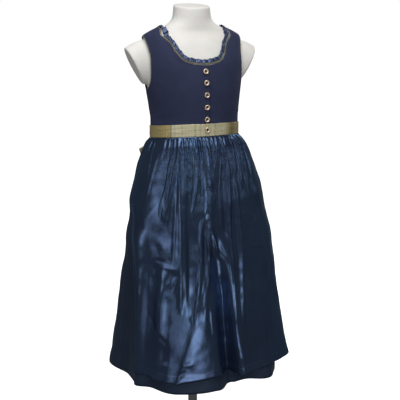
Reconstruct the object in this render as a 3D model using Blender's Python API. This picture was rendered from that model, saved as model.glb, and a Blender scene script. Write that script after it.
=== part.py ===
"""A child's dirndl with its apron on a dress form: a piped, buttoned bodice, a gathered
skirt, a gathered satin apron on a ribbon band tied in a bow at the back, and the form,
pole and base plate that hold it. Metres, +Z up, the wearer faces -Y, the wearer's left is +X.
Angles are in degrees from centre front towards the wearer's left."""

import math
from collections import namedtuple

import bmesh
import bpy
from mathutils import Matrix, Vector

Section = namedtuple("Section", "height half_width front back shift")
Edge = namedtuple("Edge", "angle height")
Fold = namedtuple("Fold", "high low angle_high angle_low left right rise_high rise_low")
Stub = namedtuple("Stub", "across top bottom half_depth")
Turning = namedtuple("Turning", "radius height")
Lift = namedtuple("Lift", "angle rise")

# Cloth walls, the gaps between pieces, the room between form and bodice, and how many
# times its thickness a hanging wall may measure along the radius in a steep fold
BODICE_WALL = 0.0018
SKIRT_WALL = 0.0014
APRON_WALL = 0.0012
RIBBON_WALL = 0.0012
RUCHE_WALL = 0.0010
SEAM_GAP = 0.0003
EASE = 0.0022
STEEPEST = 2.2

# Heights at centre front
HEM = 0.220
APRON_HEM = 0.250
WAIST_SEAM = 0.868
BAND_BOTTOM = 0.853
BAND_HEIGHT = 0.030
BAND_DROP_TO_BACK = 0.021
UNDERARM = 0.963

# Front closing
LAP_OVER = 0.008
LAP_UNDER = 0.010
LAP_FADE = 0.020
LAP_GAP = 0.0008
BUTTON_RADIUS = 0.0068
BUTTON_DEPTH = 0.0034
BUTTON_HEIGHTS = (1.006, 0.980, 0.952, 0.923, 0.894)

# A button's outline, in shares of its radius and its depth
BUTTON_PROFILE = (
    Turning(0.86, 0.00),
    Turning(1.00, 0.40),
    Turning(0.84, 1.00),
    Turning(0.60, 0.55),
    Turning(0.22, 0.85),
)

# Trims. The ruche begins at this share of its width, and at its seam it keeps this share
# of its waves' swing
PIPING_RADIUS = 0.0012
NECK_PIPING_GAP = 0.0012
ARMHOLE_PIPING_GAP = 0.0004
RUCHE_WAVES = 42
RUCHE_SWING = 0.0021
RUCHE_START = 0.40
RUCHE_TIGHT = 0.3
CORD_SIDES = 6

# Gathers: how many all round or across, how far they stand out below the band, and over
# what length they die out. The apron covers the skirt's gathers up to the bared angle
SKIRT_GATHERS = 30
SKIRT_GATHER_RISE = 0.0024
SKIRT_GATHER_LENGTH = 0.16
SKIRT_BARED = 86.0
APRON_GATHERS = 26
APRON_GATHER_RISE = 0.0012
APRON_GATHER_LENGTH = 0.10
APRON_CLEAR = 0.0026
APRON_CLEAR_BELOW = 0.0050
SIDE_SEAM = 96.0
APRON_TOP_ANGLES = (-102.0, 90.0)
APRON_HEM_ANGLES = (-68.5, 66.0)
APRON_SETTLED = 0.10
BAND_SEAM = 55.0
TIE_END = 176.5

# Bow at centre back
BOW_X = 0.0065
BOW_Y = 0.0970
KNOT_HALF = Vector((0.014, 0.007, 0.018))
KNOT_ROUND = 0.0045
LOOP_Y = 0.0050
RIBBON_WIDTH = 0.032
KNOT_WIDTH = 0.020
OPENING_LENGTH = 0.040
LOOP_LENGTH = 0.1135
LOOP_DROOP = 46.0
LOOP_END_DROOP = 34.0
LOOP_LEAN = 33.0
LOOP_END_LEAN = 18.0
LOOP_BULGE = 0.008
LOOP_FOLD = 0.0056
TAIL_LENGTH = 0.24
TAIL_TOP = 0.0038
TAIL_ANGLE = 7.5
TAIL_SPREAD = 8.0
TAIL_CLEAR = 0.0013
TAIL_CLEAR_BELOW = 0.0045

# Rows of the meshes
SIDE_ROWS = 4
CENTRE_ROWS = 4
STRAP_ROWS = 10
PANEL_COLUMNS = 8
FINE_ROWS = (0.868, 0.8525, 0.836, 0.806, 0.760, 0.705)
WIDE_ROWS = (0.625, 0.535, 0.440, 0.345)
LAST_SKIRT_ROW = 0.270
SKIRT_STEP = 3.0

# Stand
POLE_RADIUS = 0.0125
COLLAR_RADIUS = 0.024
COLLAR_HEIGHT = 0.035
COLLAR_TAPER = 0.7
BASE_RADIUS = 0.150
BASE_THICKNESS = 0.008
BASE_ROUND = 0.003
NECK_TILT = 9.0
NECK_TILT_FROM = 1.14

FORM = (
    Section(0.652, 0.0920, 0.066, 0.072, 0.0065),
    Section(0.658, 0.1120, 0.082, 0.088, 0.0065),
    Section(0.672, 0.1240, 0.091, 0.099, 0.0065),
    Section(0.720, 0.1290, 0.096, 0.104, 0.0065),
    Section(0.785, 0.1160, 0.090, 0.093, 0.0065),
    Section(0.828, 0.1085, 0.085, 0.084, 0.0065),
    Section(0.886, 0.1085, 0.085, 0.084, 0.0065),
    Section(0.920, 0.1115, 0.088, 0.084, 0.0055),
    Section(0.963, 0.1175, 0.089, 0.086, 0.0045),
    Section(1.000, 0.1215, 0.086, 0.086, 0.0030),
    Section(1.030, 0.1235, 0.079, 0.081, 0.0020),
    Section(1.055, 0.1245, 0.067, 0.071, 0.0005),
    Section(1.074, 0.1240, 0.056, 0.059, 0.0000),
    Section(1.086, 0.1210, 0.048, 0.051, 0.0000),
    Section(1.095, 0.1070, 0.043, 0.046, 0.0000),
    Section(1.103, 0.0890, 0.041, 0.044, 0.0000),
    Section(1.111, 0.0710, 0.041, 0.043, 0.0000),
    Section(1.120, 0.0560, 0.041, 0.042, 0.0000),
    Section(1.132, 0.0480, 0.041, 0.041, 0.0000),
    Section(1.160, 0.0450, 0.040, 0.040, 0.0000),
)

# Arm stub: sections across the shoulder, by distance from the middle of the body. The cut
# plane passes two points, each given by its distance across and its height
STUB_DEPTH_CENTRE = 0.004
STUBS = (
    Stub(0.085, 1.078, 0.986, 0.026),
    Stub(0.106, 1.080, 0.975, 0.027),
    Stub(0.124, 1.079, 0.973, 0.028),
    Stub(0.145, 1.073, 0.966, 0.031),
    Stub(0.165, 1.063, 0.956, 0.033),
    Stub(0.185, 1.052, 0.950, 0.034),
)
STUB_CUT_TOP = (0.169, 1.060)
STUB_CUT_BOTTOM = (0.121, 0.963)

SKIRT = (
    Section(0.220, 0.2520, 0.1825, 0.1735, 0.0155),
    Section(0.272, 0.2430, 0.1771, 0.1689, 0.0153),
    Section(0.336, 0.2310, 0.1707, 0.1633, 0.0149),
    Section(0.425, 0.2175, 0.1610, 0.1550, 0.0154),
    Section(0.487, 0.2080, 0.1536, 0.1484, 0.0159),
    Section(0.537, 0.2000, 0.1482, 0.1438, 0.0157),
    Section(0.595, 0.1935, 0.1418, 0.1382, 0.0145),
    Section(0.646, 0.1810, 0.1345, 0.1315, 0.0128),
    Section(0.700, 0.1710, 0.1261, 0.1239, 0.0116),
    Section(0.736, 0.1610, 0.1188, 0.1172, 0.0116),
    Section(0.775, 0.1480, 0.1106, 0.1104, 0.0115),
    Section(0.805, 0.1360, 0.1033, 0.1037, 0.0111),
    Section(0.830, 0.1240, 0.0967, 0.0958, 0.0098),
    Section(0.845, 0.1160, 0.0911, 0.0899, 0.0081),
    Section(0.853, 0.1125, 0.0890, 0.0880, 0.0065),
    Section(0.868, 0.1125, 0.0890, 0.0880, 0.0065),
)

# Neckline and armhole on the form, from centre front or underarm up to the shoulder seam
NECK_FRONT = (
    Edge(0.0, 1.0200),
    Edge(8.0, 1.0211),
    Edge(20.5, 1.0280),
    Edge(29.0, 1.0440),
    Edge(37.0, 1.0730),
    Edge(60.0, 1.0980),
    Edge(90.0, 1.1045),
)
NECK_BACK = (
    Edge(180.0, 1.0660),
    Edge(171.0, 1.0667),
    Edge(161.0, 1.0700),
    Edge(148.0, 1.0820),
    Edge(130.0, 1.0950),
    Edge(90.0, 1.1045),
)
RUCHE_FRONT = (
    Edge(0.0, 1.0325),
    Edge(17.3, 1.0395),
    Edge(24.0, 1.0550),
    Edge(31.4, 1.0800),
    Edge(50.0, 1.1020),
    Edge(90.0, 1.1100),
)
RUCHE_BACK = (
    Edge(180.0, 1.0780),
    Edge(160.0, 1.0820),
    Edge(145.0, 1.0930),
    Edge(125.0, 1.1040),
    Edge(90.0, 1.1100),
)
ARMHOLE_FRONT = (
    Edge(90.0, 0.9630),
    Edge(81.0, 0.9695),
    Edge(73.0, 0.9860),
    Edge(69.0, 1.0150),
    Edge(67.5, 1.0500),
    Edge(76.0, 1.0775),
    Edge(90.0, 1.0865),
)
ARMHOLE_BACK = (
    Edge(90.0, 0.9630),
    Edge(100.0, 0.9695),
    Edge(110.0, 0.9860),
    Edge(117.0, 1.0150),
    Edge(119.0, 1.0500),
    Edge(108.0, 1.0775),
    Edge(90.0, 1.0865),
)

# Large folds: heights and angles of their two ends, half-widths in degrees, rise in metres
SKIRT_FOLDS = (
    Fold(0.60, HEM, -106, -112, 8, 8, 0.000, 0.010),
    Fold(0.75, HEM, -82, -86, 15, 24, -0.003, -0.050),
    Fold(0.70, HEM, -68, -68, 4, 5, 0.003, 0.008),
    Fold(0.70, HEM, -54, -56, 9, 12, 0.000, -0.018),
    Fold(0.68, HEM, -2, 17, 14, 13, 0.000, -0.050),
    Fold(0.60, HEM, 42, 42, 7, 6, 0.000, 0.010),
    Fold(0.64, HEM, 72, 68, 12, 14, 0.000, -0.028),
    Fold(0.66, HEM, 106, 110, 7, 5, 0.002, 0.014),
    Fold(0.62, HEM, 126, 127, 8, 6, -0.001, -0.015),
    Fold(0.70, HEM, 148, 145, 5, 8, 0.002, 0.013),
    Fold(0.66, HEM, 170, 172, 7, 7, -0.001, -0.014),
    Fold(0.68, HEM, 192, 190, 6, 7, 0.002, 0.012),
    Fold(0.60, HEM, 214, 216, 9, 7, 0.000, -0.014),
    Fold(0.66, HEM, 234, 233, 5, 6, 0.002, 0.012),
)
APRON_FOLDS = (
    Fold(0.83, 0.660, -48.0, -50.0, 2.0, 2.0, 0.003, 0.004),
    Fold(0.83, 0.660, -41.0, -47.0, 2.0, 2.0, 0.004, 0.004),
    Fold(0.84, 0.480, -31.0, -30.0, 11.0, 1.8, 0.004, 0.013),
    Fold(0.56, 0.360, -48.0, -49.0, 5.0, 6.0, 0.005, 0.009),
    Fold(0.84, 0.640, -2.0, -6.0, 3.0, 3.0, 0.004, 0.006),
    Fold(0.66, 0.440, -7.0, -13.5, 2.2, 2.8, 0.005, 0.009),
    Fold(0.48, APRON_HEM, -15.0, -34.0, 2.2, 15.0, 0.004, 0.012),
    Fold(0.64, APRON_HEM, -1.0, 12.0, 9.0, 4.0, -0.005, -0.046),
    Fold(0.60, APRON_HEM, 9.0, 16.5, 2.2, 5.0, 0.008, 0.006),
    Fold(0.82, 0.610, 23.0, 13.0, 2.2, 2.2, 0.004, 0.004),
    Fold(0.82, 0.380, 28.0, 20.5, 2.4, 2.4, 0.004, 0.006),
    Fold(0.85, 0.690, 57.0, 57.0, 7.0, 7.0, 0.003, 0.006),
    Fold(0.62, APRON_HEM, 63.0, 63.0, 10.0, 6.0, 0.000, 0.013),
    Fold(0.70, APRON_HEM, -59.0, -60.0, 6.0, 9.0, -0.002, -0.022),
)

# How far the hems rise above their level, by angle
SKIRT_HEM_LIFTS = (
    Lift(-180.0, 0.000),
    Lift(-8.0, 0.000),
    Lift(6.0, -0.006),
    Lift(20.0, -0.008),
    Lift(30.0, 0.003),
    Lift(40.0, 0.000),
    Lift(180.0, 0.000),
)
APRON_HEM_LIFTS = (
    Lift(-62.0, 0.005),
    Lift(-50.0, 0.003),
    Lift(-36.0, 0.000),
    Lift(-28.0, 0.006),
    Lift(-18.0, 0.008),
    Lift(-4.0, 0.010),
    Lift(11.0, 0.006),
    Lift(17.0, 0.000),
    Lift(26.0, 0.004),
    Lift(66.0, 0.005),
)


# Small helpers


def smooth(value):
    """Eases 0 to 1, flat at both ends."""
    value = min(max(value, 0.0), 1.0)
    return value * value * (3.0 - 2.0 * value)


def mix(first, second, share):
    return first + (second - first) * share


def circle(radius, sides):
    """Points round a circle about the vertical axis, at height 0."""
    turns = (math.tau * k / sides for k in range(sides))
    return [Vector((radius * math.cos(t), radius * math.sin(t), 0.0)) for t in turns]


def curve_through(rows, share):
    """A smooth reading of the rows at a place from 0, the first, to len(rows) - 1, the last."""
    last = len(rows) - 1
    index = min(int(share), last - 1)
    part = share - index
    before, after = rows[max(index - 1, 0)], rows[min(index + 2, last)]
    start, end = rows[index], rows[index + 1]
    values = []
    for a, b, c, d in zip(before, start, end, after):
        slope_in, slope_out = (c - a) / 2.0, (d - b) / 2.0
        t2, t3 = part * part, part * part * part
        values.append(
            (2 * t3 - 3 * t2 + 1) * b
            + (t3 - 2 * t2 + part) * slope_in
            + (3 * t2 - 2 * t3) * c
            + (t3 - t2) * slope_out
        )
    return type(start)(*values)


def slope_at(rows, index, field):
    """The slope of a smooth curve through the rows that never overshoots them."""
    if index in (0, len(rows) - 1):
        return 0.0
    before, here, after = rows[index - 1 : index + 2]
    first = (here[field] - before[field]) / (here.height - before.height)
    second = (after[field] - here[field]) / (after.height - here.height)
    if first * second <= 0.0:
        return 0.0
    return 2.0 * first * second / (first + second)


def section_at(table, height):
    """The table's section at this height, on smooth curves through its rows."""
    if height <= table[0].height:
        return table[0]
    for index, (low, high) in enumerate(zip(table, table[1:])):
        if height > high.height:
            continue
        span = high.height - low.height
        t = (height - low.height) / span
        values = [height]
        for field in range(1, len(low)):
            start = slope_at(table, index, field) * span
            end = slope_at(table, index + 1, field) * span
            values.append(
                (2 * t**3 - 3 * t**2 + 1) * low[field]
                + (t**3 - 2 * t**2 + t) * start
                + (3 * t**2 - 2 * t**3) * high[field]
                + (t**3 - t**2) * end
            )
        return Section(*values)
    return table[-1]


def band_tilt(angle):
    """How much lower the waist lies here than at centre front."""
    return -BAND_DROP_TO_BACK * (1.0 - math.cos(math.radians(angle))) / 2.0


def moved_out(surface, angle, height, out, step=0.25):
    """A surface's point moved out along its normal, found over a small step each way."""
    rise = 0.0008
    point = surface(angle, height)
    across = surface(angle + step, height) - surface(angle - step, height)
    up = surface(angle, height + rise) - surface(angle, height - rise)
    return point + across.cross(up).normalized() * out


# The form


def form_point(angle, height):
    section = section_at(FORM, height)
    turn = math.radians(angle)
    depth = section.front if math.cos(turn) > 0 else section.back
    across = section.shift + section.half_width * math.sin(turn)
    return Vector((across, -depth * math.cos(turn), height))


def on_form(angle, height, out=0.0):
    return moved_out(form_point, angle, height, out)


# The skirt and the apron


def fold_rise(fold, angle, height):
    """How far one large fold pushes the cloth out, or in, at this place."""
    down = (fold.high - height) / (fold.high - fold.low)
    if down <= 0.0:
        return 0.0
    fade = smooth(down / 0.25) * (1.0 - smooth((down - 1.0) / 0.12))
    share = min(down, 1.0)
    offset = (angle - mix(fold.angle_high, fold.angle_low, share) + 180.0) % 360.0 - 180.0
    reach = fold.left if offset < 0 else fold.right
    return mix(fold.rise_high, fold.rise_low, share) * fade * math.exp(-((offset / reach) ** 2))


def plain_radius(angle, height):
    section = section_at(SKIRT, height)
    turn = math.radians(angle)
    depth = section.front if math.cos(turn) > 0 else section.back
    return 1.0 / math.hypot(math.sin(turn) / section.half_width, math.cos(turn) / depth)


def gather_fade(height, length):
    """1 just below the band, falling to 0 over this length."""
    below = BAND_BOTTOM - height
    return smooth(below / 0.012) * (1.0 - smooth((below - 0.02) / length))


def skirt_radius(angle, height):
    folds = sum(fold_rise(fold, angle, height) for fold in SKIRT_FOLDS)
    phase = math.radians(angle * SKIRT_GATHERS + 180.0)
    uneven = 0.75 + 0.35 * math.sin(math.radians(angle * 5.0 + 40.0))
    bared = smooth((abs((angle + 180.0) % 360.0 - 180.0) - SKIRT_BARED) / 12.0)
    gather = SKIRT_GATHER_RISE * uneven * bared * math.cos(phase)
    gather *= gather_fade(height, SKIRT_GATHER_LENGTH)
    return plain_radius(angle, height) + folds + gather


def apron_radius(angle, height, wave, free):
    """wave is the count of gathers from the apron's right edge. free is 0 where the apron
    lies on the skirt and 1 where it hangs in its own folds."""
    below = BAND_BOTTOM - height
    clear = mix(APRON_CLEAR, APRON_CLEAR_BELOW, smooth(below / 0.03))
    folds = sum(fold_rise(fold, angle, height) for fold in APRON_FOLDS)
    uneven = 0.8 + 0.4 * math.sin(2.3 * wave + 0.7)
    gather = APRON_GATHER_RISE * uneven * (1.0 - math.cos(2.0 * math.pi * wave))
    least = skirt_radius(angle, height) + clear
    raised = mix(least, plain_radius(angle, height) + clear + folds, free)
    return max(raised, least) + gather * gather_fade(height, APRON_GATHER_LENGTH)


def hung_point(angle, height, radius):
    """A point of the skirt or apron. Heights are those at centre front, and the waist's
    tilt fades towards the hem."""
    down = (BAND_BOTTOM - height) / (BAND_BOTTOM - HEM)
    turn = math.radians(angle)
    flat = Vector((math.sin(turn), -math.cos(turn), 0.0)) * radius
    waist = SKIRT[-1]
    on_waist = math.atan2(math.sin(turn) / waist.half_width, math.cos(turn) / waist.front)
    lift = band_tilt(math.degrees(on_waist)) * min(1.0 - down, 1.0)
    return flat + Vector((section_at(SKIRT, height).shift, 0.0, height + lift))


def skirt_place(angle, height):
    """The angle and radius of the skirt's outer face."""
    return angle, skirt_radius(angle, height)


def apron_place(share, height):
    """The angle and radius of the apron's outer face. share runs from 0 at its right edge
    to 1 at its left edge. The right edge lies on the skirt."""
    down = (BAND_BOTTOM - height) / (BAND_BOTTOM - APRON_HEM)
    first = mix(APRON_TOP_ANGLES[0], APRON_HEM_ANGLES[0], down)
    last = mix(APRON_TOP_ANGLES[1], APRON_HEM_ANGLES[1], down)
    angle = mix(first, last, share)
    free = smooth(share / APRON_SETTLED)
    return angle, apron_radius(angle, height, share * APRON_GATHERS, free)


def hem_lift(lifts, angle):
    """How far a hem rises above its level here."""
    turn = (angle + 180.0) % 360.0 - 180.0
    for before, after in zip(lifts, lifts[1:]):
        if turn <= after.angle:
            part = smooth((turn - before.angle) / (after.angle - before.angle))
            return mix(before.rise, after.rise, part)
    return lifts[-1].rise


def wall_pair(place, across, height, step, wall):
    """The outer and inner points of hanging cloth. The inner face lies further in where a
    fold turns steeply, so that the wall keeps its thickness."""
    angle, radius = place(across, height)
    before, radius_before = place(across - step, height)
    after, radius_after = place(across + step, height)
    slope = (radius_after - radius_before) / (radius * math.radians(after - before))
    depth = wall * min(math.hypot(1.0, slope), STEEPEST)
    return hung_point(angle, height, radius), hung_point(angle, height, radius - depth)


# Making meshes


def material(name, colour, roughness, metallic=0.0):
    found = bpy.data.materials.get(name)
    if found:
        return found
    made = bpy.data.materials.new(name)
    made.use_nodes = True
    shader = made.node_tree.nodes["Principled BSDF"]
    shader.inputs["Base Color"].default_value = (*colour, 1.0)
    shader.inputs["Roughness"].default_value = roughness
    shader.inputs["Metallic"].default_value = metallic
    made.diffuse_color = (*colour, 1.0)
    return made


def wool():
    return material("navy_wool", (0.035, 0.045, 0.095), 0.9)


def skirt_cloth():
    return material("navy_cotton", (0.020, 0.032, 0.075), 0.7)


def satin():
    return material("blue_satin", (0.025, 0.040, 0.110), 0.3)


def ribbon():
    return material("gold_ribbon", (0.38, 0.33, 0.19), 0.4)


def cord_cloth():
    return material("olive_cord", (0.24, 0.21, 0.11), 0.6)


def button_metal():
    return material("old_brass", (0.72, 0.52, 0.36), 0.3, 1.0)


def form_shell():
    return material("form_white", (0.78, 0.77, 0.74), 0.5)


def chrome():
    return material("chrome", (0.6, 0.6, 0.6), 0.15, 1.0)


def add_object(name, mesh_maker, finish, sharp=40.0):
    mesh = bpy.data.meshes.new(name)
    mesh_maker.to_mesh(mesh)
    mesh_maker.free()
    mesh.shade_smooth()
    mesh.set_sharp_from_angle(angle=math.radians(sharp))
    mesh.materials.append(finish)
    made = bpy.data.objects.new(name, mesh)
    bpy.context.scene.collection.objects.link(made)
    return made


def add_rows(sheet, rows):
    """Adds faces through rows of (outer point, inner point), top row first. A row may have
    half the cells of the row above it, where fine gathers have died out."""
    inner = sheet.verts.layers.float_vector.get("inner")
    rings = []
    for row in rows:
        ring = []
        for outer_point, inner_point in row:
            vert = sheet.verts.new(outer_point)
            vert[inner] = inner_point
            ring.append(vert)
        rings.append(ring)
    for upper, lower in zip(rings, rings[1:]):
        if len(upper) == len(lower):
            for i in range(len(upper) - 1):
                sheet.faces.new((upper[i], lower[i], lower[i + 1], upper[i + 1]))
            continue
        for i in range(len(lower) - 1):
            near, middle, far = upper[2 * i : 2 * i + 3]
            sheet.faces.new((near, lower[i], middle))
            sheet.faces.new((middle, lower[i], lower[i + 1]))
            sheet.faces.new((middle, lower[i + 1], far))


def wall_mesh(*blocks):
    """A closed wall from blocks of rows: its outer face, its inner face and its rims.
    Blocks that share points are joined."""
    sheet = bmesh.new()
    inner = sheet.verts.layers.float_vector.new("inner")
    for rows in blocks:
        add_rows(sheet, rows)
    bmesh.ops.remove_doubles(sheet, verts=sheet.verts, dist=0.00001)
    bmesh.ops.triangulate(sheet, faces=sheet.faces, quad_method="SHORT_EDGE")
    outside = sheet.faces[:]
    rims = [edge.link_loops[0] for edge in sheet.edges if edge.is_boundary]
    rims = [(loop.vert, loop.link_loop_next.vert) for loop in rims]
    inside = {vert: sheet.verts.new(vert[inner]) for vert in sheet.verts[:]}
    for face in outside:
        sheet.faces.new([inside[vert] for vert in reversed(face.verts[:])])
    for start, end in rims:
        sheet.faces.new((end, start, inside[start], inside[end]))
    return sheet


def loft_mesh(rings, capped=True, looped=False):
    """Joins closed rings of points in turn, with end caps, or the last ring to the first."""
    body = bmesh.new()
    made = [[body.verts.new(point) for point in ring] for ring in rings]
    pairs = list(zip(made, made[1:]))
    if looped:
        pairs.append((made[-1], made[0]))
    count = len(made[0])
    for first, second in pairs:
        for i in range(count):
            j = (i + 1) % count
            body.faces.new((first[i], first[j], second[j], second[i]))
    if capped and not looped:
        body.faces.new(made[0])
        body.faces.new(made[-1])
    bmesh.ops.recalc_face_normals(body, faces=body.faces)
    return body


def tube_mesh(route, radius, sides, looped):
    """A round cord along a route of points."""
    count = len(route)
    rings = []
    for i, point in enumerate(route):
        ahead = route[(i + 1) % count] if looped or i < count - 1 else point
        behind = route[i - 1] if looped or i > 0 else point
        along = (ahead - behind).normalized()
        side = along.cross(Vector((point.x, point.y, 0.0)).normalized()).normalized()
        lift = side.cross(along)
        rings.append([point + side * p.x + lift * p.y for p in circle(radius, sides)])
    return loft_mesh(rings, looped=looped)


def strip_mesh(route, thick):
    """A flat ribbon along a route of (point, direction and length of its width, outward
    direction)."""
    rings = []
    for point, across, outward in route:
        half = across / 2.0
        depth = outward.normalized() * thick / 2.0
        under, over = point - depth, point + depth
        rings.append([under - half, under + half, over + half, over - half])
    return loft_mesh(rings)


# Bodice


def fine_edge(rows):
    """Places along an edge, and the length up to each."""
    fine = [curve_through(rows, (len(rows) - 1) * i / 60.0) for i in range(61)]
    points = [form_point(*edge) for edge in fine]
    lengths = [0.0]
    for a, b in zip(points, points[1:]):
        lengths.append(lengths[-1] + (b - a).length)
    return fine, lengths


def edge_length(rows):
    return fine_edge(rows)[1][-1]


def edge_place(rows, share):
    """The place at this share, 0 to 1, of an edge's length, given by its angle and height."""
    fine, lengths = fine_edge(rows)
    wanted = share * lengths[-1]
    for i in range(60):
        if wanted <= lengths[i + 1]:
            part = (wanted - lengths[i]) / (lengths[i + 1] - lengths[i])
            return Edge(*(mix(a, b, part) for a, b in zip(fine[i], fine[i + 1])))
    return fine[-1]


def neck_share(row):
    """The neckline's share at a strap row: rows lie closer together near the centre."""
    return (row / STRAP_ROWS) ** 1.15


def neck_place(neck, share):
    """A place on the neckline. A share below 0 lies past the centre line."""
    if share >= 0.0:
        return edge_place(neck, share)
    centre = neck[0].angle
    past = edge_place(neck, -share)
    return Edge(2.0 * centre - past.angle, past.height)


def row_ends(neck, armhole, past_centre):
    """The two ends of each row above the underarm: first from the centre line, then from
    the neckline, to the armhole."""
    start = neck_place(neck, -past_centre)
    count = CENTRE_ROWS + STRAP_ROWS
    ends = []
    for i in range(count + 1):
        if i <= CENTRE_ROWS:
            inner = Edge(start.angle, mix(UNDERARM, start.height, i / CENTRE_ROWS))
        else:
            inner = neck_place(neck, neck_share(i - CENTRE_ROWS))
        ends.append((inner, edge_place(armhole, i / count)))
    return ends


def half_panel(neck, armhole, past_centre):
    """Rows of (angle, height), from the waist up, of the half front or back on the
    wearer's left. past_centre is the share of the neckline by which it passes the centre."""
    ends = row_ends(neck, armhole, past_centre)
    levels = [(ends[0], i / SIDE_ROWS, 0.0) for i in range(SIDE_ROWS)]
    levels += [(pair, 1.0, i / (len(ends) - 1)) for i, pair in enumerate(ends)]
    rows = []
    for (inner, outer), lower, upper in levels:
        seam_gap = mix(0.075, 0.25, upper)
        row = []
        for j in range(PANEL_COLUMNS + 1):
            share = j / PANEL_COLUMNS
            angle = mix(inner.angle, outer.angle, share)
            top = mix(inner.height, outer.height, smooth(share))
            height = mix(WAIST_SEAM + band_tilt(angle), top, lower)
            if neck[0].angle < 90.0:
                angle = min(angle, 90.0 - seam_gap)
            else:
                angle = max(angle, 90.0 + seam_gap)
            row.append((angle, height))
        rows.append(row)
    return rows


def lap_step(across):
    """How far the lapped front stands out, by distance past the edge of what lies under."""
    return (BODICE_WALL + LAP_GAP) * (1.0 - smooth(across / LAP_FADE))


def closing_step(angle, height, lapped=False):
    """The height of the lap at centre front, fading to both sides, or on the lapped
    front itself, where it holds to that front's edge."""
    turn = math.radians(angle)
    if math.cos(turn) < 0.0:
        return 0.0
    across = section_at(FORM, height).half_width * math.sin(turn)
    if across < 0.0 or lapped:
        return lap_step(-across - LAP_UNDER - 0.002)
    return lap_step(across - LAP_OVER - 0.006)


def bodice_pair(angle, height, raised=0.0):
    """The outer and inner points of the bodice's wall."""
    outer = on_form(angle, height, EASE + BODICE_WALL + raised)
    return outer, on_form(angle, height, EASE + raised)


def front_mesh(side):
    """The front on one side: 1 the wearer's left, -1 the right, which laps over."""
    lap = LAP_UNDER if side > 0 else LAP_OVER
    rows = []
    for row in half_panel(NECK_FRONT, ARMHOLE_FRONT, lap / edge_length(NECK_FRONT)):
        points = []
        for angle, height in row:
            raised = closing_step(angle * side, height, True) if side < 0 else 0.0
            points.append(bodice_pair(angle * side, height, raised))
        rows.append(points if side > 0 else points[::-1])
    return wall_mesh(rows[::-1])


def back_mesh():
    rows = half_panel(NECK_BACK, ARMHOLE_BACK, 0.0)[::-1]
    left = [[bodice_pair(angle, height) for angle, height in row[::-1]] for row in rows]
    right = [[bodice_pair(360.0 - angle, height) for angle, height in row] for row in rows]
    return wall_mesh(left, right)


def make_bodice():
    add_object("bodice_front_left", front_mesh(1), wool())
    add_object("bodice_front_right", front_mesh(-1), wool())
    add_object("bodice_back", back_mesh(), wool())


# Piping, ruche and buttons


def ring_of_edges(front, back, shares):
    """Places all round the neck, from centre front towards the wearer's left. The shares
    rise from 0 at the centre to 1 at the shoulder."""
    left = [edge_place(front, share) for share in shares]
    left += [edge_place(back, share) for share in shares[-2::-1]]
    right = [Edge(-edge.angle, edge.height) for edge in left[1:-1][::-1]]
    return left + right


def piping_route(edges, gap):
    """Just past the cut edge of the cloth, at the middle of its wall."""
    route = []
    places = [form_point(*edge) for edge in edges]
    count = len(edges)
    for i, edge in enumerate(edges):
        out = EASE + BODICE_WALL / 2.0 + closing_step(*edge)
        point = on_form(*edge, out)
        along = (places[(i + 1) % count] - places[i - 1]).normalized()
        normal = (on_form(*edge, 0.01) - on_form(*edge)).normalized()
        beyond = normal.cross(along).normalized()
        route.append(point + beyond * (PIPING_RADIUS + gap))
    return route


def make_piping():
    shares = [neck_share(row / 2.0) for row in range(2 * STRAP_ROWS + 1)]
    neck = ring_of_edges(NECK_FRONT, NECK_BACK, shares)
    cord = tube_mesh(piping_route(neck, NECK_PIPING_GAP), PIPING_RADIUS, CORD_SIDES, True)
    add_object("neck_piping", cord, cord_cloth(), 80.0)
    for side, name in ((1.0, "armhole_piping_left"), (-1.0, "armhole_piping_right")):
        count = CENTRE_ROWS + STRAP_ROWS
        shares = [i / count for i in range(count)]
        up = [edge_place(ARMHOLE_FRONT, share) for share in shares]
        down = [edge_place(ARMHOLE_BACK, 1.0 - share) for share in shares]
        edges = [Edge(edge.angle * side, edge.height) for edge in up + down]
        if side > 0:
            edges = edges[::-1]
        route = piping_route(edges, ARMHOLE_PIPING_GAP)
        cord = tube_mesh(route, PIPING_RADIUS, CORD_SIDES, True)
        add_object(name, cord, cord_cloth(), 80.0)


def make_ruche():
    """A gathered strip inside the neckline: its waves grow towards the free edge."""
    cells = RUCHE_WAVES * 4
    shares = [i / RUCHE_WAVES for i in range(RUCHE_WAVES + 1)]
    seam = ring_of_edges(NECK_FRONT, NECK_BACK, shares)
    free = ring_of_edges(RUCHE_FRONT, RUCHE_BACK, shares)
    rows = []
    for share, swing in ((1.0, 1.0), (RUCHE_START, RUCHE_TIGHT)):
        row = []
        for i in range(cells + 1):
            near, far = seam[i % cells], free[i % cells]
            place = Edge(mix(near.angle, far.angle, share), mix(near.height, far.height, share))
            wave = math.sin(math.tau * i / 4.0) * RUCHE_SWING * swing
            out = EASE + BODICE_WALL + RUCHE_WALL / 2.0 + wave
            out += closing_step(*place) * (1.0 - share)
            row.append((on_form(*place, out), on_form(*place, out - RUCHE_WALL)))
        rows.append(row)
    add_object("neck_ruche", wall_mesh(rows), satin(), 80.0)


def button_mesh(seat, outward):
    """A domed button turned on a lathe: rolled rim, dished centre and a small boss."""
    turn = Vector((0.0, 0.0, 1.0)).rotation_difference(outward).to_matrix()
    rings = []
    for place in BUTTON_PROFILE:
        lift = Vector((0.0, 0.0, place.height * BUTTON_DEPTH))
        spots = circle(place.radius * BUTTON_RADIUS, 12)
        rings.append([seat + turn @ (spot + lift) for spot in spots])
    return loft_mesh(rings)


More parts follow.
